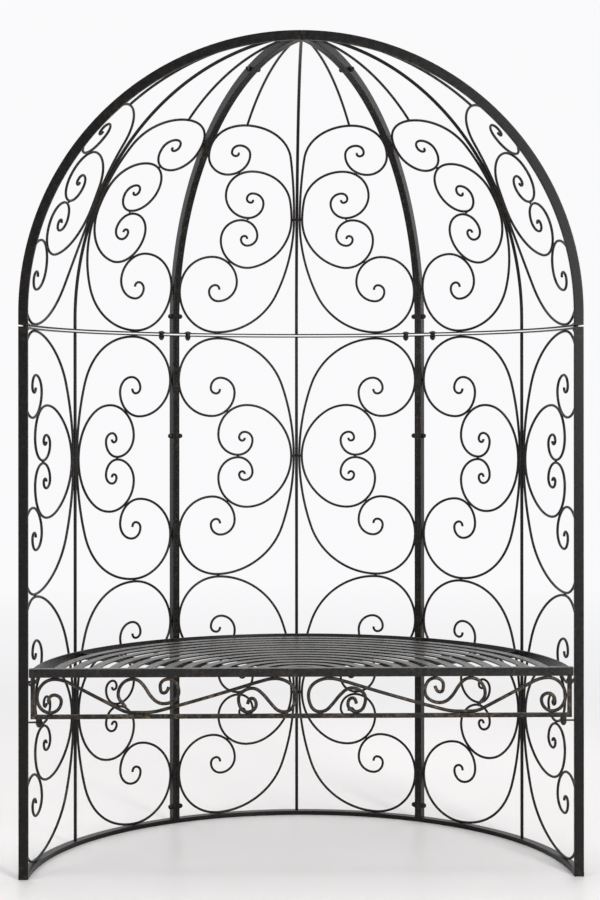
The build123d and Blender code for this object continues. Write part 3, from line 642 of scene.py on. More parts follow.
def uneven(tree, geometry, amount):
    """A geometry pushed along its normals by an amount and shaded smooth."""
    normal = add_node(tree, "GeometryNodeInputNormal").outputs[0]
    push = add_node(tree, "ShaderNodeVectorMath", {0: normal, "Scale": amount}, operation="SCALE")
    pushed = add_node(tree, "GeometryNodeSetPosition", {"Geometry": geometry, "Offset": push.outputs[0]})
    smooth = add_node(tree, "GeometryNodeSetShadeSmooth",
                      {"Geometry": pushed.outputs[0], "Shade Smooth": True})
    return smooth.outputs[0]


def end_group(tree, entry, geometry):
    """Closes a group with Realize Instances and Set Material."""
    real = add_node(tree, "GeometryNodeRealizeInstances", {"Geometry": geometry})
    painted = add_node(tree, "GeometryNodeSetMaterial",
                       {"Geometry": real.outputs[0], "Material": entry["Material"]})
    add_node(tree, "NodeGroupOutput", {"Geometry": painted.outputs[0]})
    return tree


def rod_group():
    """The group that turns a line into a bent round rod with a slightly uneven skin."""
    if "ArborRod" in bpy.data.node_groups:
        return bpy.data.node_groups["ArborRod"]
    tree, entry = new_group("ArborRod", Radius="Float", Sides="Int", Dent="Float", Seed="Float")
    ring = add_node(tree, "GeometryNodeCurvePrimitiveCircle",
                    {"Resolution": entry["Sides"], "Radius": entry["Radius"]})
    taper = add_node(tree, "GeometryNodeInputRadius")
    skinned = add_node(tree, "GeometryNodeCurveToMesh", {
        "Curve": entry["Geometry"], "Profile Curve": ring.outputs[0],
        "Scale": taper.outputs[0], "Fill Caps": True})
    dents = add_node(tree, "ShaderNodeTexNoise", {"W": entry["Seed"], "Scale": DENT_SCALE, "Detail": 1.0},
                     noise_dimensions="4D")
    swing = maths(tree, "SUBTRACT", dents.outputs["Fac"], 0.5)
    amount = maths(tree, "MULTIPLY", swing, entry["Dent"])
    return end_group(tree, entry, uneven(tree, skinned.outputs[0], amount))


def bead_group():
    """The group that lays uneven weld beads on points."""
    if "ArborBeads" in bpy.data.node_groups:
        return bpy.data.node_groups["ArborBeads"]
    tree, entry = new_group("ArborBeads", Radius="Float", Seed="Int")
    ball = add_node(tree, "GeometryNodeMeshIcoSphere", {"Radius": entry["Radius"], "Subdivisions": 3})
    lumps = add_node(tree, "ShaderNodeTexNoise", {"Scale": BEAD_LUMP_SCALE, "Detail": BEAD_LUMP_DETAIL})
    amount = maths(tree, "MULTIPLY_ADD", lumps.outputs["Fac"], BEAD_LUMPS, -BEAD_LUMPS / 2)
    turn, size = (
        add_node(tree, "FunctionNodeRandomValue", {"Seed": entry["Seed"], 0: low, 1: high},
                 data_type="FLOAT_VECTOR")
        for low, high in (BEAD_TURNS, BEAD_SCALES))
    laid = add_node(tree, "GeometryNodeInstanceOnPoints", {
        "Points": entry["Geometry"], "Instance": uneven(tree, ball.outputs[0], amount),
        "Rotation": turn.outputs[0], "Scale": size.outputs[0]})
    return end_group(tree, entry, laid.outputs[0])


def copies_group():
    """The group that sets one fastener on each point, along the point's aim."""
    if "ArborCopies" in bpy.data.node_groups:
        return bpy.data.node_groups["ArborCopies"]
    tree, entry = new_group("ArborCopies", Fastener="Object")
    info = add_node(tree, "GeometryNodeObjectInfo", {"Object": entry["Fastener"]})
    aim = add_node(tree, "GeometryNodeInputNamedAttribute", {"Name": "aim"}, data_type="FLOAT_VECTOR")
    turned = add_node(tree, "FunctionNodeAlignRotationToVector", {"Vector": aim.outputs[0]}, axis="Z")
    laid = add_node(tree, "GeometryNodeInstanceOnPoints", {
        "Points": entry["Geometry"], "Instance": info.outputs["Geometry"], "Rotation": turned.outputs[0]})
    return end_group(tree, entry, laid.outputs[0])


def linked(name, data):
    """A new object in the scene."""
    thing = bpy.data.objects.new(name, data)
    bpy.context.scene.collection.objects.link(thing)
    return thing


def grown(source, tree, **values):
    """The plain mesh that a group makes of an object, which is then removed with its data."""
    mod = source.modifiers.new("Arbor", "NODES")
    mod.node_group = tree
    for item in tree.interface.items_tree:
        if item.in_out == "INPUT" and item.name in values:
            mod[item.identifier] = values[item.name]
    source.update_tag()
    bpy.context.view_layer.update()
    graph = bpy.context.evaluated_depsgraph_get()
    mesh = bpy.data.meshes.new_from_object(source.evaluated_get(graph), depsgraph=graph)
    bpy.data.batch_remove((source, source.data))
    if not mesh.polygons:
        raise RuntimeError("a Geometry Nodes group made no faces")
    return mesh


def add_piece(name, mesh, material, slot, *nodes):
    """A finished piece on the frame, which stands for CAD nodes or adds to them."""
    mesh.name = name
    mesh.materials.clear()
    mesh.materials.append(material)
    piece = linked(name, mesh)
    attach(piece, "root")
    if nodes:
        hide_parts(*nodes)


def rods(name, lines, radius, material, slot, *nodes):
    """Bent round rods along lines of points, slightly drawn in at their ends."""
    c = bpy.context.scene.arbor_scrolls
    curve = bpy.data.curves.new(name + "_line", "CURVE")
    curve.dimensions = "3D"
    for line in lines:
        first = line[0].lerp(line[1], ROD_END_SHARE)
        last = line[-1].lerp(line[-2], ROD_END_SHARE)
        points = [line[0], first] + list(line[1:-1]) + [last, line[-1]]
        spline = curve.splines.new("POLY")
        spline.points.add(len(points) - 1)
        for point, p in zip(spline.points, points):
            point.co = (*p, 1.0)
            point.radius = 1.0
        spline.points[0].radius = spline.points[-1].radius = ROD_TAPER_SHARE
    mesh = grown(linked(name + "_line", curve), rod_group(), Radius=radius, Sides=c.sides, Dent=c.dent,
                 Seed=float(len(name)), Material=material)
    add_piece(name, mesh, material, slot, *nodes)


def point_mesh(name, places, aims=()):
    """A mesh of loose points, with a direction on each where they have one."""
    mesh = bpy.data.meshes.new(name)
    mesh.from_pydata([tuple(p) for p in places], [], [])
    if aims:
        attribute = mesh.attributes.new("aim", "FLOAT_VECTOR", "POINT")
        for value, aim in zip(attribute.data, aims):
            value.vector = aim
    return linked(name, mesh)


def beads(name, places, material):
    """Weld beads at places, as one piece."""
    f = bpy.context.scene.arbor_fasteners
    mesh = grown(point_mesh(name + "_points", places), bead_group(), Radius=f.bead, Seed=f.bead_seed,
                 Material=material)
    add_piece(name, mesh, material, "scroll_coat")


def rounded(depth, width, corner):
    """A rounded rectangle as points and a wear value each, worn at its corners only."""
    points = []
    band = min(corner * BAND_CORNERS, depth / BAND_PARTS, width / BAND_PARTS)
    for k, (su, sv) in enumerate(((1, 1), (-1, 1), (-1, -1), (1, -1))):
        cu, cv = su * (depth / 2 - corner), sv * (width / 2 - corner)
        arc = [math.pi / 2 * (k + j / CORNER_STEPS) for j in range(CORNER_STEPS + 1)]
        before = Vector((math.sin(arc[0]), -math.cos(arc[0]))) * band
        after = Vector((-math.sin(arc[-1]), math.cos(arc[-1]))) * band
        ends = [Vector((cu + corner * math.cos(a), cv + corner * math.sin(a))) for a in arc]
        points.append((*(ends[0] + before), 0.0))
        points += [(p.x, p.y, 1.0) for p in ends]
        points.append((*(ends[-1] + after), 0.0))
    return points


def skin(bm, rows):
    """Closes rows of vertices into a bar."""
    for a, b in zip(rows, rows[1:]):
        for k in range(len(a)):
            n = (k + 1) % len(a)
            bm.faces.new((a[k], a[n], b[n], b[k]))
    bm.faces.new(rows[0][::-1])
    bm.faces.new(rows[-1])


def smoothed(bm, sharp):
    """Shades a form smooth but for the edges that turn by more degrees than an angle."""
    for face in bm.faces:
        face.smooth = True
    for edge in bm.edges:
        edge.smooth = edge.calc_face_angle(0.0) < math.radians(sharp)


def mesh_of(bm, sharp):
    """The mesh of closed forms, with its normals outward."""
    bmesh.ops.recalc_face_normals(bm, faces=bm.faces)
    smoothed(bm, sharp)
    mesh = bpy.data.meshes.new("form")
    bm.to_mesh(mesh)
    bm.free()
    return mesh


def loft(bars):
    """A mesh of closed bars. Each bar is (rings of points, wear value of each point of a ring)."""
    bm = bmesh.new()
    layer = bm.verts.layers.float.new("wear")
    for rings, wear in bars:
        rows = [[bm.verts.new(p) for p in ring] for ring in rings]
        for at, row in enumerate(rows):
            for vert, value in zip(row, wear):
                vert[layer] = END_WEAR if at in (0, len(rows) - 1) else value
        skin(bm, rows)
    return mesh_of(bm, SHARP_BAR)


def bar_piece(name, bars, material, slot, node):
    """A piece made of closed bars."""
    add_piece(name, loft(bars), material, slot, node)


def swept(section, steps, spot):
    """A bar whose section's points lie where a function of the share of its length puts them."""
    rings = [[spot(k / steps, u, v) for u, v, _ in section] for k in range(steps + 1)]
    return rings, [wear for _, _, wear in section]


def straight_bar(section, start, end, side, rise, steps):
    """A bar from a start to an end, with its section's two directions."""
    def spot(way, u, v):
        return Vector(start).lerp(Vector(end), way) + Vector(side) * u + Vector(rise) * v
    return swept(section, steps, spot)


def moved(bar, turn=0.0, flip=False):
    """A bar about the arbor's axis, turned by degrees, mirrored where wanted and moved into the frame."""
    rings, wear = bar
    spin = Matrix.Rotation(math.radians(turn), 3, "Z")
    return [[place(spin @ p, 0.0, flip) for p in ring] for ring in rings], wear


def post_bar():
    """The post lying along the X radius."""
    s, c, t, f, d = settings()
    section = rounded(s.tube_depth, s.tube_width, s.tube_corner)
    return straight_bar(section, (d.mid, d.post_middle, s.foot_rail),
                        (d.mid, d.post_middle, s.wall_height - s.rail), X_AXIS, Y_AXIS, POST_STEPS)


def rib_bar():
    """The rib over the X radius, mitred at the apex."""
    s, c, t, f, d = settings()
    section = rounded(s.tube_depth, s.tube_width, s.tube_corner)
    edge = s.joint_gap / 2 / math.sin(d.half)

    def spot(way, u, v):
        y, radius = d.post_middle + v, d.mid + u
        angle = math.acos((edge + y / math.tan(d.half)) / radius) * way
        return Vector((radius * math.cos(angle), y, d.springing + radius * math.sin(angle)))

    rings, wear = swept(section, RIB_STEPS, spot)
    foot = [Vector((d.mid + u, d.post_middle + v, d.springing - s.stub)) for u, v, _ in section]
    return [foot] + rings, wear


def rail_bar(base, height):
    """A flat curved rail of the back panel."""
    s, c, t, f, d = settings()
    reach = d.half - math.asin(s.joint_gap / 2 / d.mid)

    def spot(way, u, v):
        return polar(d.mid + u, math.pi / 2 + reach * (2 * way - 1), base + height / 2 + v)
    return swept(rounded(s.tube_depth, height, s.rail_corner), RAIL_STEPS, spot)


def half_ring_bar(outer, inner, base, height):
    """A half ring behind the front beam, with its ends cut along the beam."""
    s, c, t, f, d = settings()

    def spot(way, u, v):
        radius = (outer + inner) / 2 + u
        start = math.asin(d.beam_back / radius)
        return polar(radius, start + (math.pi - 2 * start) * way, base + height / 2 + v)
    return swept(rounded(outer - inner, height, s.rail_corner), HALF_RING_STEPS, spot)


def bearer_bar(angle):
    """A flat on edge under the slats, from the beam to the rim."""
    s, c, t, f, d = settings()
    height = t.rim_height - t.drop - t.slat
    along, side = polar(1, math.radians(angle), 0), polar(1, math.radians(angle + 90), 0)

    def spot(way, u, v):
        start = (t.beam + s.touch_gap - side.y * u) / along.y
        end = math.sqrt((t.radius - t.rim - s.touch_gap / 2) ** 2 - u ** 2)
        p = along * (start + (end - start) * way) + side * u
        return Vector((p.x, p.y, d.seat_under + height / 2 + v))
    return swept(rounded(t.bearer, height, s.rail_corner), BEARER_STEPS, spot)


def hub_plate(base):
    """The half disc at the slats' centre, with eased edges."""
    s, c, t, f, d = settings()
    start = math.asin(d.beam_back / t.hub)
    turns = [start + (math.pi - 2 * start) * k / HUB_STEPS for k in range(HUB_STEPS + 1)]
    bm = bmesh.new()
    layer = bm.verts.layers.float.new("wear")
    skin(bm, [[bm.verts.new(place(polar(t.hub, a, level))) for a in turns]
              for level in (base, base + t.slat)])
    bmesh.ops.recalc_face_normals(bm, faces=bm.faces)
    sharp = [e for e in bm.edges if e.calc_face_angle(0.0) > math.radians(SHARP_BAR)]
    bmesh.ops.bevel(bm, geom=sharp, offset=s.rail_corner, segments=2, affect="EDGES")
    for vert in bm.verts:
        vert[layer] = PLATE_WEAR
    smoothed(bm, SHARP_BAR)
    return bm


def turned_mesh(profiles):
    """A mesh of forms turned about +Z, each from rows of radius, height and whether it is a hexagon."""
    bm = bmesh.new()
    layer = bm.verts.layers.float.new("wear")
    for profile in profiles:
        rows = []
        for radius, height, hexed in profile:
            row = []
            for k in range(TURNED_SIDES):
                a = 2 * math.pi * k / TURNED_SIDES
                spread = radius / math.cos(a % (math.pi / 3) - math.pi / 6) if hexed else radius
                row.append(bm.verts.new(polar(spread, a, height)))
            rows.append(row)
        skin(bm, rows)
    for vert in bm.verts:
        vert[layer] = TURNED_WEAR
    return mesh_of(bm, SHARP_TURNED)


def dome_profile(radius, height, base, sign=1):
    """Profile of a domed head that stands on a level."""
    ball = (radius ** 2 + height ** 2) / (2 * height)
    limit = math.asin(min(1.0, radius / ball))
    rows = [(radius * HEAD_FOOT_SHARE, base, 0), (radius, base + sign * height * HEAD_EDGE_SHARE, 0)]
    for k in range(1, HEAD_STEPS):
        a = limit * (1 - k / HEAD_STEPS)
        rows.append((ball * math.sin(a), base + sign * (ball * math.cos(a) - ball + height), 0))
    return rows + [(radius * HEAD_CROWN_SHARE, base + sign * height, 0)]


def nut_profile(width, height):
    """Profile of a chamfered hexagon nut."""
    r, chamfer = width / 2, height * NUT_CHAMFER_SHARE
    return [(r * NUT_FACE_SHARE, 0.0, 0), (r, chamfer, 1), (r, height - chamfer, 1),
            (r * NUT_FACE_SHARE, height, 0)]


def cap_profile(width, height):
    """Profile of a domed nut."""
    crown = height / 2
    return nut_profile(width, crown)[:3] + dome_profile(width / 2 * NUT_FACE_SHARE, crown, crown)


def fasteners(name, profiles, spots, material, node):
    """Copies of a fastener of turned forms at spots, each a place and an aim."""
    source = linked(name + "_form", turned_mesh(profiles))
    points = point_mesh(name + "_points", [p for p, _ in spots], [a for _, a in spots])
    mesh = grown(points, copies_group(), Fastener=source, Material=material)
    bpy.data.batch_remove((source, source.data))
    add_piece(name, mesh, material, "fastener_coat", node)


def joint_spots(step):
    """Places and aims on the joints' bolts, a step along each bolt from its head's face."""
    s, c, t, f, d = settings()
    lifts = [math.radians(angle) for angle in (f.rib_low, f.rib_high)]
    sites = [(d.mid, f.low_bolt), (d.mid, f.high_bolt)]
    sites += [(d.mid * math.cos(lift), d.springing + d.mid * math.sin(lift)) for lift in lifts]
    turn = Matrix.Rotation(math.radians(JOINT_ANGLE), 3, "Z")
    spots = []
    for side in SIDES:
        aim = turn @ Vector(Y_AXIS)
        aim.x *= side
        for radius, height in sites:
            at = turn @ Vector((radius, step - d.tube_reach, height))
            spots.append((place(at, 0.0, side < 0), aim))
    return spots


def ring_spots(height, up):
    """Places and aims of the ring's fasteners."""
    s, c, t, f, d = settings()
    reach = d.half - f.ring_inset / d.mid
    return [(place(polar(d.mid, math.radians(90 + turn) + side * reach, height)), Vector((0, 0, up)))
            for turn in PANELS.values() for side in SIDES]


def coat_material(name, rub, dust, speckle, grain, duller, gloss_share, sheen_share):
    """Dark coated metal: mottled coat, rubbed crowns, dust on level faces and a fine orange peel."""
    g = bpy.context.scene.arbor_finish
    tree = fresh_tree(bpy.data.materials.new(name))
    coords = add_node(tree, "ShaderNodeTexCoord").outputs["Object"]
    broad, mottle, fine = (noise(tree, coords, *values) for values in (BROAD_NOISE, MOTTLE_NOISE, FINE_NOISE))
    edge = add_node(tree, "ShaderNodeAttribute", attribute_name="wear", attribute_type="GEOMETRY")
    worn = maths(tree, "MULTIPLY", ranged(tree, mottle, *RUBBED_SPAN), ranged(tree, broad, *PATCH_SPANS))
    edged = maths(tree, "MULTIPLY_ADD", edge.outputs["Fac"], EDGE_RUB, rub)
    rubbed = maths(tree, "MULTIPLY", worn, edged, clamp=True)
    surface = add_node(tree, "ShaderNodeNewGeometry").outputs["Normal"]
    upward = add_node(tree, "ShaderNodeSeparateXYZ", {"Vector": surface}).outputs["Z"]
    settled = maths(tree, "MULTIPLY", ranged(tree, upward, *LEVEL_SPAN, 0.0, dust), broad, clamp=True)
    base = blend(tree, mottle, (*g.coat, 1), (*g.coat_pale, 1))
    dusty = blend(tree, settled, blend(tree, rubbed, base, (*g.bronze, 1)), (*g.dust, 1))
    rough = g.roughness + duller
    roughness = ranged(tree, mottle, *DULL_SPAN, rough - DULL_BELOW, rough + DULL_ABOVE)
    heights = maths(tree, "MULTIPLY_ADD", fine, speckle, mottle)
    if grain:
        heights = ring_grain(tree, coords, heights)
    bump = add_node(tree, "ShaderNodeBump",
                    {"Strength": BUMP_STRENGTH, "Distance": BUMP_DEPTH, "Height": heights})
    shader = add_node(tree, "ShaderNodeBsdfPrincipled", {
        "Base Color": dusty,
        "Roughness": maths(tree, "MULTIPLY_ADD", settled, DUST_DULL, roughness, clamp=True),
        "Metallic": maths(tree, "MULTIPLY", rubbed, BRONZE_METAL),
        "Specular IOR Level": g.gloss * gloss_share,
        "Sheen Weight": g.sheen * sheen_share,
        "Sheen Roughness": SHEEN_ROUGHNESS,
        "Normal": bump.outputs[0]})
    add_node(tree, "ShaderNodeOutputMaterial", {"Surface": shader.outputs[0]})


def ring_grain(tree, coords, heights):
    """Adds the fine rolling marks that follow the seat's rings to a bump's height."""
    d = settings()[4]
    apart = add_node(tree, "ShaderNodeSeparateXYZ", {"Vector": coords}).outputs
    depth = maths(tree, "SUBTRACT", apart["Y"], d.front)
    flat = add_node(tree, "ShaderNodeCombineXYZ", {"X": apart["X"], "Y": depth})
    radius = add_node(tree, "ShaderNodeVectorMath", {"Vector": flat.outputs[0]}, operation="LENGTH")
    line = add_node(tree, "ShaderNodeTexNoise", {
        "W": radius.outputs["Value"], "Scale": GRAIN_SCALE, "Detail": GRAIN_DETAIL}, noise_dimensions="1D")
    return maths(tree, "MULTIPLY_ADD", line.outputs["Fac"], GRAIN_DEPTH, heights)


def finish_materials():
    """The finishes, made once."""
    for name, values in COATS.items():
        if "arbor_" + name not in bpy.data.materials:
            coat_material("arbor_" + name, *values)
    return {name: bpy.data.materials["arbor_" + name] for name in COATS}


def floor_material():
    """Pale floor: it keeps the shadow near the object and fades into the white background, whose glow carries
    a painted shade that is darker nearer the object.
    """
    g = bpy.context.scene.arbor_finish
    mat = bpy.data.materials.new("floor")
    tree = fresh_tree(mat)
    coords = add_node(tree, "ShaderNodeTexCoord").outputs["Object"]
    rough = ranged(tree, noise(tree, coords, *FLOOR_NOISE), 0.0, 1.0, *FLOOR_DULL)
    near = add_node(tree, "ShaderNodeBsdfPrincipled", {
        "Base Color": (*g.floor, 1), "Roughness": rough, "Specular IOR Level": FLOOR_GLOSS})
    reach = add_node(tree, "ShaderNodeVectorMath", {"Vector": coords}, operation="LENGTH").outputs["Value"]
    # Painted shade: the glowing backdrop floor is dimmer near the object and full white further out
    far = add_node(tree, "ShaderNodeEmission", {
        "Color": (*g.backdrop, 1), "Strength": ranged(tree, reach, *PAINTED_SHADE_SPANS)})
    fade = ranged(tree, reach, *FADE_SPAN, interpolation_type="SMOOTHSTEP")
    rays = add_node(tree, "ShaderNodeLightPath").outputs
    seen = maths(tree, "MAXIMUM", rays["Is Camera Ray"], rays["Is Glossy Ray"])
    shown = shader_mix(tree, maths(tree, "MULTIPLY", fade, seen), near, far)
    add_node(tree, "ShaderNodeOutputMaterial", {"Surface": shown})
    return mat


def panel_tubes(bar, side, turn, panel, kind, coat):
    """A panel's two side tubes, its posts or its ribs."""
    for hand, flip in HANDS:
        angle = JOINT_ANGLE - turn if flip else JOINT_ANGLE + turn
        bar_piece(f"{side}_{hand}_{kind}", [moved(bar, angle, flip)], coat, "frame_coat",
                  f"{side}_{panel}_{hand}_{kind}")


class ArborOperator:
    """What the arbor's operators share: each one makes its pieces with the finishes"""
    bl_options = {"REGISTER", "UNDO"}

    def execute(self, context):
        self.make(finish_materials())
        return {"FINISHED"}


class ARBOR_OT_walls(ArborOperator, bpy.types.Operator):
    """Builds the wall panels' posts and rails"""
    bl_idname = "arbor.walls"
    bl_label = "Wall panels"

    def make(self, mats):
        s = bpy.context.scene.arbor_sizes
        coat = mats["frame_coat"]
        post, low, high = post_bar(), rail_bar(0.0, s.foot_rail), rail_bar(s.wall_height - s.rail, s.rail)
        for side, turn in PANELS.items():
            panel_tubes(post, side, turn, "wall", "post", coat)
            for name, bar in (("bottom_rail", low), ("top_rail", high)):
                bar_piece(f"{side}_{name}", [moved(bar, turn)], coat, "frame_coat", f"{side}_wall_{name}")


class ARBOR_OT_dome(ArborOperator, bpy.types.Operator):
    """Builds the dome gores' ribs and ring rails"""
    bl_idname = "arbor.dome"
    bl_label = "Dome gores"

    def make(self, mats):
        s, c, t, f, d = settings()
        coat = mats["frame_coat"]
        rib, ring = rib_bar(), rail_bar(d.dome_base, s.rail)
        for side, turn in PANELS.items():
            panel_tubes(rib, side, turn, "dome", "rib", coat)
            bar_piece(f"{side}_ring_rail", [moved(ring, turn)], coat, "frame_coat", f"{side}_dome_ring_rail")


class ARBOR_OT_scrolls(ArborOperator, bpy.types.Operator):
    """Bends the scrolls and rods of the walls and the dome"""
    bl_idname = "arbor.scrolls"
    bl_label = "Scrolls and rods"

    def make(self, mats):
        s, c, t, f, d = settings()
        wall = [[[on_wall(x, z + up, d) for x, z in line] for up in (0.0, d.module)]
                for line in wall_lines()[:2]]
        dome = [[[on_dome(x, z, d) for x, z in line]] for line in dome_lines()[:2]]
        jobs = (("wall_large_scrolls", wall[0], c.wire), ("wall_small_scrolls", wall[1], c.wire),
                ("dome_large_scrolls", dome[0], c.wire), ("dome_small_scrolls", dome[1], c.wire),
                ("dome_side_rods", [side_rod()], c.wire),
                ("wall_centre_rod", [wall_rod()], c.rod), ("dome_centre_rod", [dome_rod()], c.rod))
        for side, turn in PANELS.items():
            for name, lines, size in jobs:
                single = name.endswith("centre_rod")
                slot = "frame_coat" if single else "scroll_coat"
                placed = [[place(p, turn, flip) for p in line]
                          for flip in ((False,) if single else (False, True)) for line in lines]
                rods(f"{side}_{name}_rod", placed, size / 2, mats[slot], slot, f"{side}_{name}")


class ARBOR_OT_seat(ArborOperator, bpy.types.Operator):
    """Builds the seat, its bearers and its supports"""
    bl_idname = "arbor.seat"
    bl_label = "Seat"

    def make(self, mats):
        s, c, t, f, d = settings()
        coat = mats["seat_coat"]
        middle = (t.beam / 2, t.height - t.beam / 2)
        square = rounded(t.beam, t.beam, s.tube_corner)
        beam = straight_bar(square, (-d.beam_half, *middle), (d.beam_half, *middle), Y_AXIS, Z_AXIS,
                            BEAM_STEPS)
        bar_piece("seat_beam", [moved(beam)], coat, "seat_coat", "seat_front_beam")
        rim = half_ring_bar(t.radius, t.radius - t.rim, d.seat_under, t.rim_height)
        bar_piece("seat_edge", [moved(rim)], coat, "seat_coat", "seat_rim")
        base = t.height - t.drop - t.slat
        bars = []
        inner = t.radius - t.rim - t.inset - t.slat_width
        while inner > d.beam_back + t.slat_width:
            bars.append(moved(half_ring_bar(inner + t.slat_width, inner, base, t.slat)))
            inner -= t.pitch
        slats = loft(bars)
        hub = hub_plate(base)
        hub.from_mesh(slats)
        hub.to_mesh(slats)
        hub.free()
        add_piece("seat_slat_rings", slats, coat, "seat_coat", "seat_slats")
        bearers = [moved(bearer_bar(angle)) for angle in BEARER_ANGLES]
        bar_piece("seat_bearer_bars", bearers, coat, "seat_coat", "seat_bearers")
        self.supports(mats["frame_coat"])

    def supports(self, coat):
        """The tabs on the front posts and the ledges on the joint posts."""
        s, c, t, f, d = settings()
        plate = rounded(t.tab_width, t.tab, s.rail_corner / 2)
        middle = (t.tab_width / 2, d.apron_floor - t.bar - t.tab_drop - t.tab / 2)
        tabs = [moved(straight_bar(plate, (side * d.inner, *middle),
                                   (side * (d.inner - t.tab_length), *middle),
                                   Y_AXIS, Z_AXIS, PLATE_STEPS)) for side in SIDES]
        bar_piece("front_tab_plates", tabs, coat, "frame_coat", "seat_front_tabs")
        plate = rounded(t.ledge_width, t.tab, s.rail_corner / 2)
        level = d.seat_under - t.tab / 2
        ledge = straight_bar(plate, (d.inner, 0, level), (d.inner - t.ledge_length, 0, level),
                             Y_AXIS, Z_AXIS, PLATE_STEPS)
        ledges = [moved(ledge, angle) for angle in (JOINT_ANGLE, SECOND_JOINT)]
        bar_piece("back_ledge_plates", ledges, coat, "frame_coat", "seat_back_ledges")


class ARBOR_OT_apron(ArborOperator, bpy.types.Operator):
    """Builds the apron's frame and its scrolled bars"""
    bl_idname = "arbor.apron"
    bl_label = "Apron"

    def make(self, mats):
        s, c, t, f, d = settings()
        coat = mats["apron_coat"]
        square = rounded(t.bar, t.bar, s.rail_corner)
        middle = (t.bar / 2, d.apron_floor - t.bar / 2)
        rail = straight_bar(square, (-d.end_outer, *middle), (d.end_outer, *middle), Y_AXIS, Z_AXIS,
                            APRON_RAIL_STEPS)
        bar_piece("apron_rail_bar", [moved(rail)], coat, "frame_coat", "apron_lower_rail")
        posts = []
        for side in SIDES:
            x = side * (d.end_outer - t.bar / 2)
            foot, top = (x, t.bar / 2, d.apron_floor), (x, t.bar / 2, d.beam_under)
            posts.append(moved(straight_bar(square, foot, top, X_AXIS, Y_AXIS, APRON_POST_STEPS)))
        bar_piece("apron_post_bars", posts, coat, "frame_coat", "apron_end_posts")
        for name, table in (("long", LONG_BAR_SHARES), ("short", SHORT_BAR_SHARES)):
            lines = [[place(p, 0.0, flip) for p in apron_line(table)] for flip in (False, True)]
            rods(f"apron_{name}_bars", lines, t.scroll / 2, coat, "scroll_coat", f"apron_{name}_scrolls")


class ARBOR_OT_welds(ArborOperator, bpy.types.Operator):
    """Lays weld beads where pieces meet"""
    bl_idname = "arbor.welds"
    bl_label = "Weld beads"

    def make(self, mats):
        s, c, t, f, d = settings()
        wall, dome, tip = wall_lines()[2], dome_lines()[2], side_rod()[-1]
        ends = (s.foot_rail + BEAD_DEPTH, s.wall_height - s.rail - BEAD_DEPTH,
                d.springing - s.stub + BEAD_DEPTH)
        for side, turn in PANELS.items():
            spots = []
            for flip in (True, False):
                for up in (0.0, d.module):
                    spots += [place(on_wall(x, z + up, d), turn, flip) for x, z in wall]
                spots += [place(on_dome(x, z, d), turn, flip) for x, z in dome]
                spots.append(place(tip, turn, flip))
            spots += [place((0, d.mid, z), turn) for z in ends]
            beads(f"{side}_weld_beads", spots, mats["weld_coat"])
        limit, level = t.radius - t.rim - BEAD_DEPTH, d.seat_under + BEARER_BEAD_RISE
        spots = [place(polar(limit, math.radians(angle), level)) for angle in BEARER_ANGLES]
        for side in SIDES:
            for shares, height in ((BEAM_WELD_SHARES, d.beam_under - BEAD_DEPTH),
                                   (RAIL_WELD_SHARES, d.apron_floor + BEAD_DEPTH)):
                spots += [place((side * across * d.beam_half, t.bar / 2, height)) for across in shares]
        beads("seat_weld_beads", spots, mats["weld_coat"])


class ARBOR_OT_fasteners(ArborOperator, bpy.types.Operator):
    """Sets the bolts, nuts, spacers and screws"""
    bl_idname = "arbor.fasteners"
    bl_label = "Fasteners"

    def make(self, mats):
        s, c, t, f, d = settings()
        r = f.bolt / 2
        grip = 2 * d.tube_reach
        bolt = dome_profile(f.head / 2, f.head_height, 0.0, -1)[::-1]
        bolt += [(r, 0.0, 0), (r, grip + f.joint_nut / 2, 0)]
        ring = [(r, -2 * s.rail - s.ring_gap, 0), (r, 0.0, 0)]
        ring += dome_profile(f.ring_head / 2, f.ring_head_height, 0.0)
        washer = [(f.nut / 2, f.washer_play, 0), (f.nut / 2, s.ring_gap - f.washer_play, 0)]
        cap = cap_profile(f.nut, f.cap_height)
        spacer = [(q, -t.tab - z, h) for q, z, h in nut_profile(f.nut, t.tab_drop)][::-1]
        stem = [(r, -t.tab - t.tab_drop - t.bar, 0), (r, 0.0, 0)]
        screw = dome_profile(f.screw_head / 2, f.screw_head_height, 0.0, -1)[::-1]
        screw += [(r, 0.0, 0), (r, t.bar + t.end_inset + t.side_gap + f.screw_bite, 0)]
        x, tab = d.inner - t.hanger_inset, d.apron_floor - t.bar - t.tab_drop - t.tab
        hangers = [(place((side * x, t.tab_width / 2, tab)), Vector((0, 0, -1))) for side in SIDES]
        x, level = d.end_outer - t.bar, d.beam_under - f.screw_drop
        screws = [(place((side * x, s.tube_width / 2, level)), Vector((side, 0, 0))) for side in SIDES]
        sets = (
            ("joint_bolt_set", [bolt], joint_spots(0.0), "joint_bolts"),
            ("joint_nut_set", [cap_profile(f.nut, f.joint_nut)], joint_spots(grip), "joint_nuts"),
            ("ring_bolt_set", [ring], ring_spots(d.dome_base + s.rail, 1.0), "ring_bolts"),
            ("ring_spacer_set", [washer], ring_spots(s.wall_height, 1.0), "ring_spacers"),
            ("ring_nut_set", [cap], ring_spots(s.wall_height - s.rail, -1.0), "ring_nuts"),
            ("hanger_nut_set", [cap, spacer], hangers, "hanger_nuts"),
            ("hanger_bolt_set", [stem], hangers, "hanger_bolts"),
            ("side_screw_set", [screw], screws, "seat_side_screws"))
        for name, profiles, spots, node in sets:
            fasteners(name, profiles, spots, mats["fastener_coat"], node)


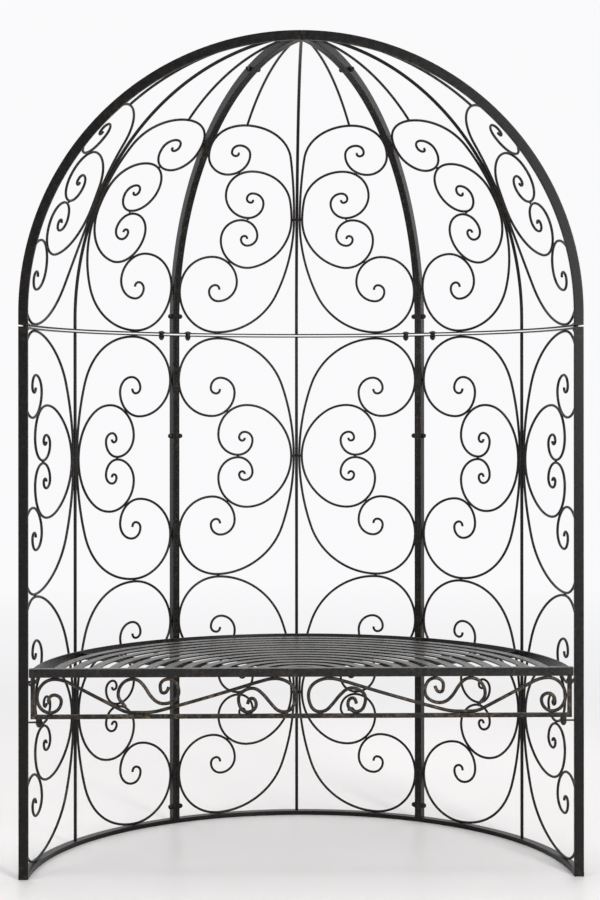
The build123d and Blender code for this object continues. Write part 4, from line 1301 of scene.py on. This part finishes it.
class ARBOR_OT_stage(ArborOperator, bpy.types.Operator):
    """Sets the floor, the lights, the background and the camera"""
    bl_idname = "arbor.stage"
    bl_label = "Stage"

    def make(self, mats):
        scene = bpy.context.scene
        self.floor()
        for name, (spot, size, power, aim) in LAMPS.items():
            self.lamp(name, spot, size, getattr(scene.arbor_stage, power), aim)
        self.world(scene)
        self.camera(scene)
        scene.view_settings.view_transform = "Standard"

    def floor(self):
        """A wide round floor."""
        bm = bmesh.new()
        bmesh.ops.create_circle(bm, cap_ends=True, segments=FLOOR_SIDES, radius=FLOOR_RADIUS)
        mesh = bpy.data.meshes.new("studio_floor")
        bm.to_mesh(mesh)
        bm.free()
        mesh.materials.append(floor_material())
        linked("studio_floor", mesh)

    def lamp(self, name, spot, size, power, aim):
        """A lamp that shines on the height given on the arbor's middle."""
        data = bpy.data.lights.new(name, "AREA")
        data.shape = "RECTANGLE"
        data.size, data.size_y = size
        data.energy = power
        lamp = linked(name, data)
        lamp.location = spot
        lamp.rotation_mode = "QUATERNION"
        lamp.rotation_quaternion = (Vector((0, 0, aim)) - Vector(spot)).to_track_quat("-Z", "Y")

    def world(self, scene):
        """The room's light, and the backdrop that the camera sees in its place."""
        scene.world = bpy.data.worlds.new("studio")
        tree = fresh_tree(scene.world)
        coords = add_node(tree, "ShaderNodeTexCoord").outputs["Generated"]
        toward = add_node(tree, "ShaderNodeSeparateXYZ", {"Vector": coords}).outputs["Y"]
        behind = ranged(tree, toward, *ROOM_SPAN, scene.arbor_stage.front_share)
        strength = maths(tree, "MULTIPLY", behind, scene.arbor_stage.ambient)
        room = add_node(tree, "ShaderNodeBackground", {"Color": WHITE, "Strength": strength})
        shown = add_node(tree, "ShaderNodeBackground", {"Color": (*scene.arbor_finish.backdrop, 1)})
        rays = add_node(tree, "ShaderNodeLightPath").outputs
        mirrored = maths(tree, "MULTIPLY", rays["Is Glossy Ray"], behind)
        seen = maths(tree, "MAXIMUM", rays["Is Camera Ray"], mirrored)
        add_node(tree, "ShaderNodeOutputWorld", {"Surface": shader_mix(tree, seen, room, shown)})

    def camera(self, scene):
        """The camera in front of the arbor."""
        g = scene.arbor_stage
        data = bpy.data.cameras.new("camera")
        data.lens, data.sensor_width, data.shift_y = g.lens, SENSOR_SIDE, g.shift
        data.clip_start, data.clip_end = CLIP_NEAR, CLIP_FAR
        scene.camera = linked("camera", data)
        scene.camera.location = (g.side, -scene.arbor_sizes.outer_radius / 2 - g.distance, g.eye)
        scene.camera.rotation_mode = "QUATERNION"
        turn = Quaternion(Z_AXIS, math.radians(g.yaw))
        nod = Quaternion(X_AXIS, math.radians(90 - g.pitch))
        scene.camera.rotation_quaternion = turn @ nod @ Quaternion(Z_AXIS, math.radians(g.roll))


class ARBOR_PT_panel(bpy.types.Panel):
    """The arbor's settings and steps"""
    bl_idname = "ARBOR_PT_panel"
    bl_label = "Garden arbor bench"
    bl_space_type = "VIEW_3D"
    bl_region_type = "UI"
    bl_category = "Arbor"

    def draw(self, context):
        for name in GROUPS:
            group = getattr(context.scene, "arbor_" + name)
            box = self.layout.box()
            box.label(text=name.capitalize())
            for key in group.__annotations__:
                box.prop(group, key)
        for operator in OPERATORS:
            self.layout.operator(operator.bl_idname)


GROUPS = {"sizes": ArborSizes, "scrolls": ArborScrolls, "dome": ArborDome, "seat": ArborSeat,
          "fasteners": ArborFasteners, "finish": ArborFinish, "stage": ArborStage}
OPERATORS = (ARBOR_OT_walls, ARBOR_OT_dome, ARBOR_OT_scrolls, ARBOR_OT_seat, ARBOR_OT_apron,
             ARBOR_OT_welds, ARBOR_OT_fasteners, ARBOR_OT_stage)


def register():
    """Registers the settings, the operators and the panel."""
    for name, group in GROUPS.items():
        bpy.utils.register_class(group)
        setattr(bpy.types.Scene, "arbor_" + name, PointerProperty(type=group))
    for operator in OPERATORS:
        bpy.utils.register_class(operator)
    bpy.utils.register_class(ARBOR_PT_panel)


def unregister():
    """Takes back what register() added."""
    bpy.utils.unregister_class(ARBOR_PT_panel)
    for operator in reversed(OPERATORS):
        bpy.utils.unregister_class(operator)
    for name, group in GROUPS.items():
        delattr(bpy.types.Scene, "arbor_" + name)
        bpy.utils.unregister_class(group)


def main():
    """Builds every piece."""
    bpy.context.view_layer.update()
    register()
    for operator in OPERATORS:
        group, call = operator.bl_idname.split(".")
        if getattr(getattr(bpy.ops, group), call)() != {"FINISHED"}:
            raise RuntimeError(operator.bl_idname + " did not finish")


if __name__ == "__main__":
    main()
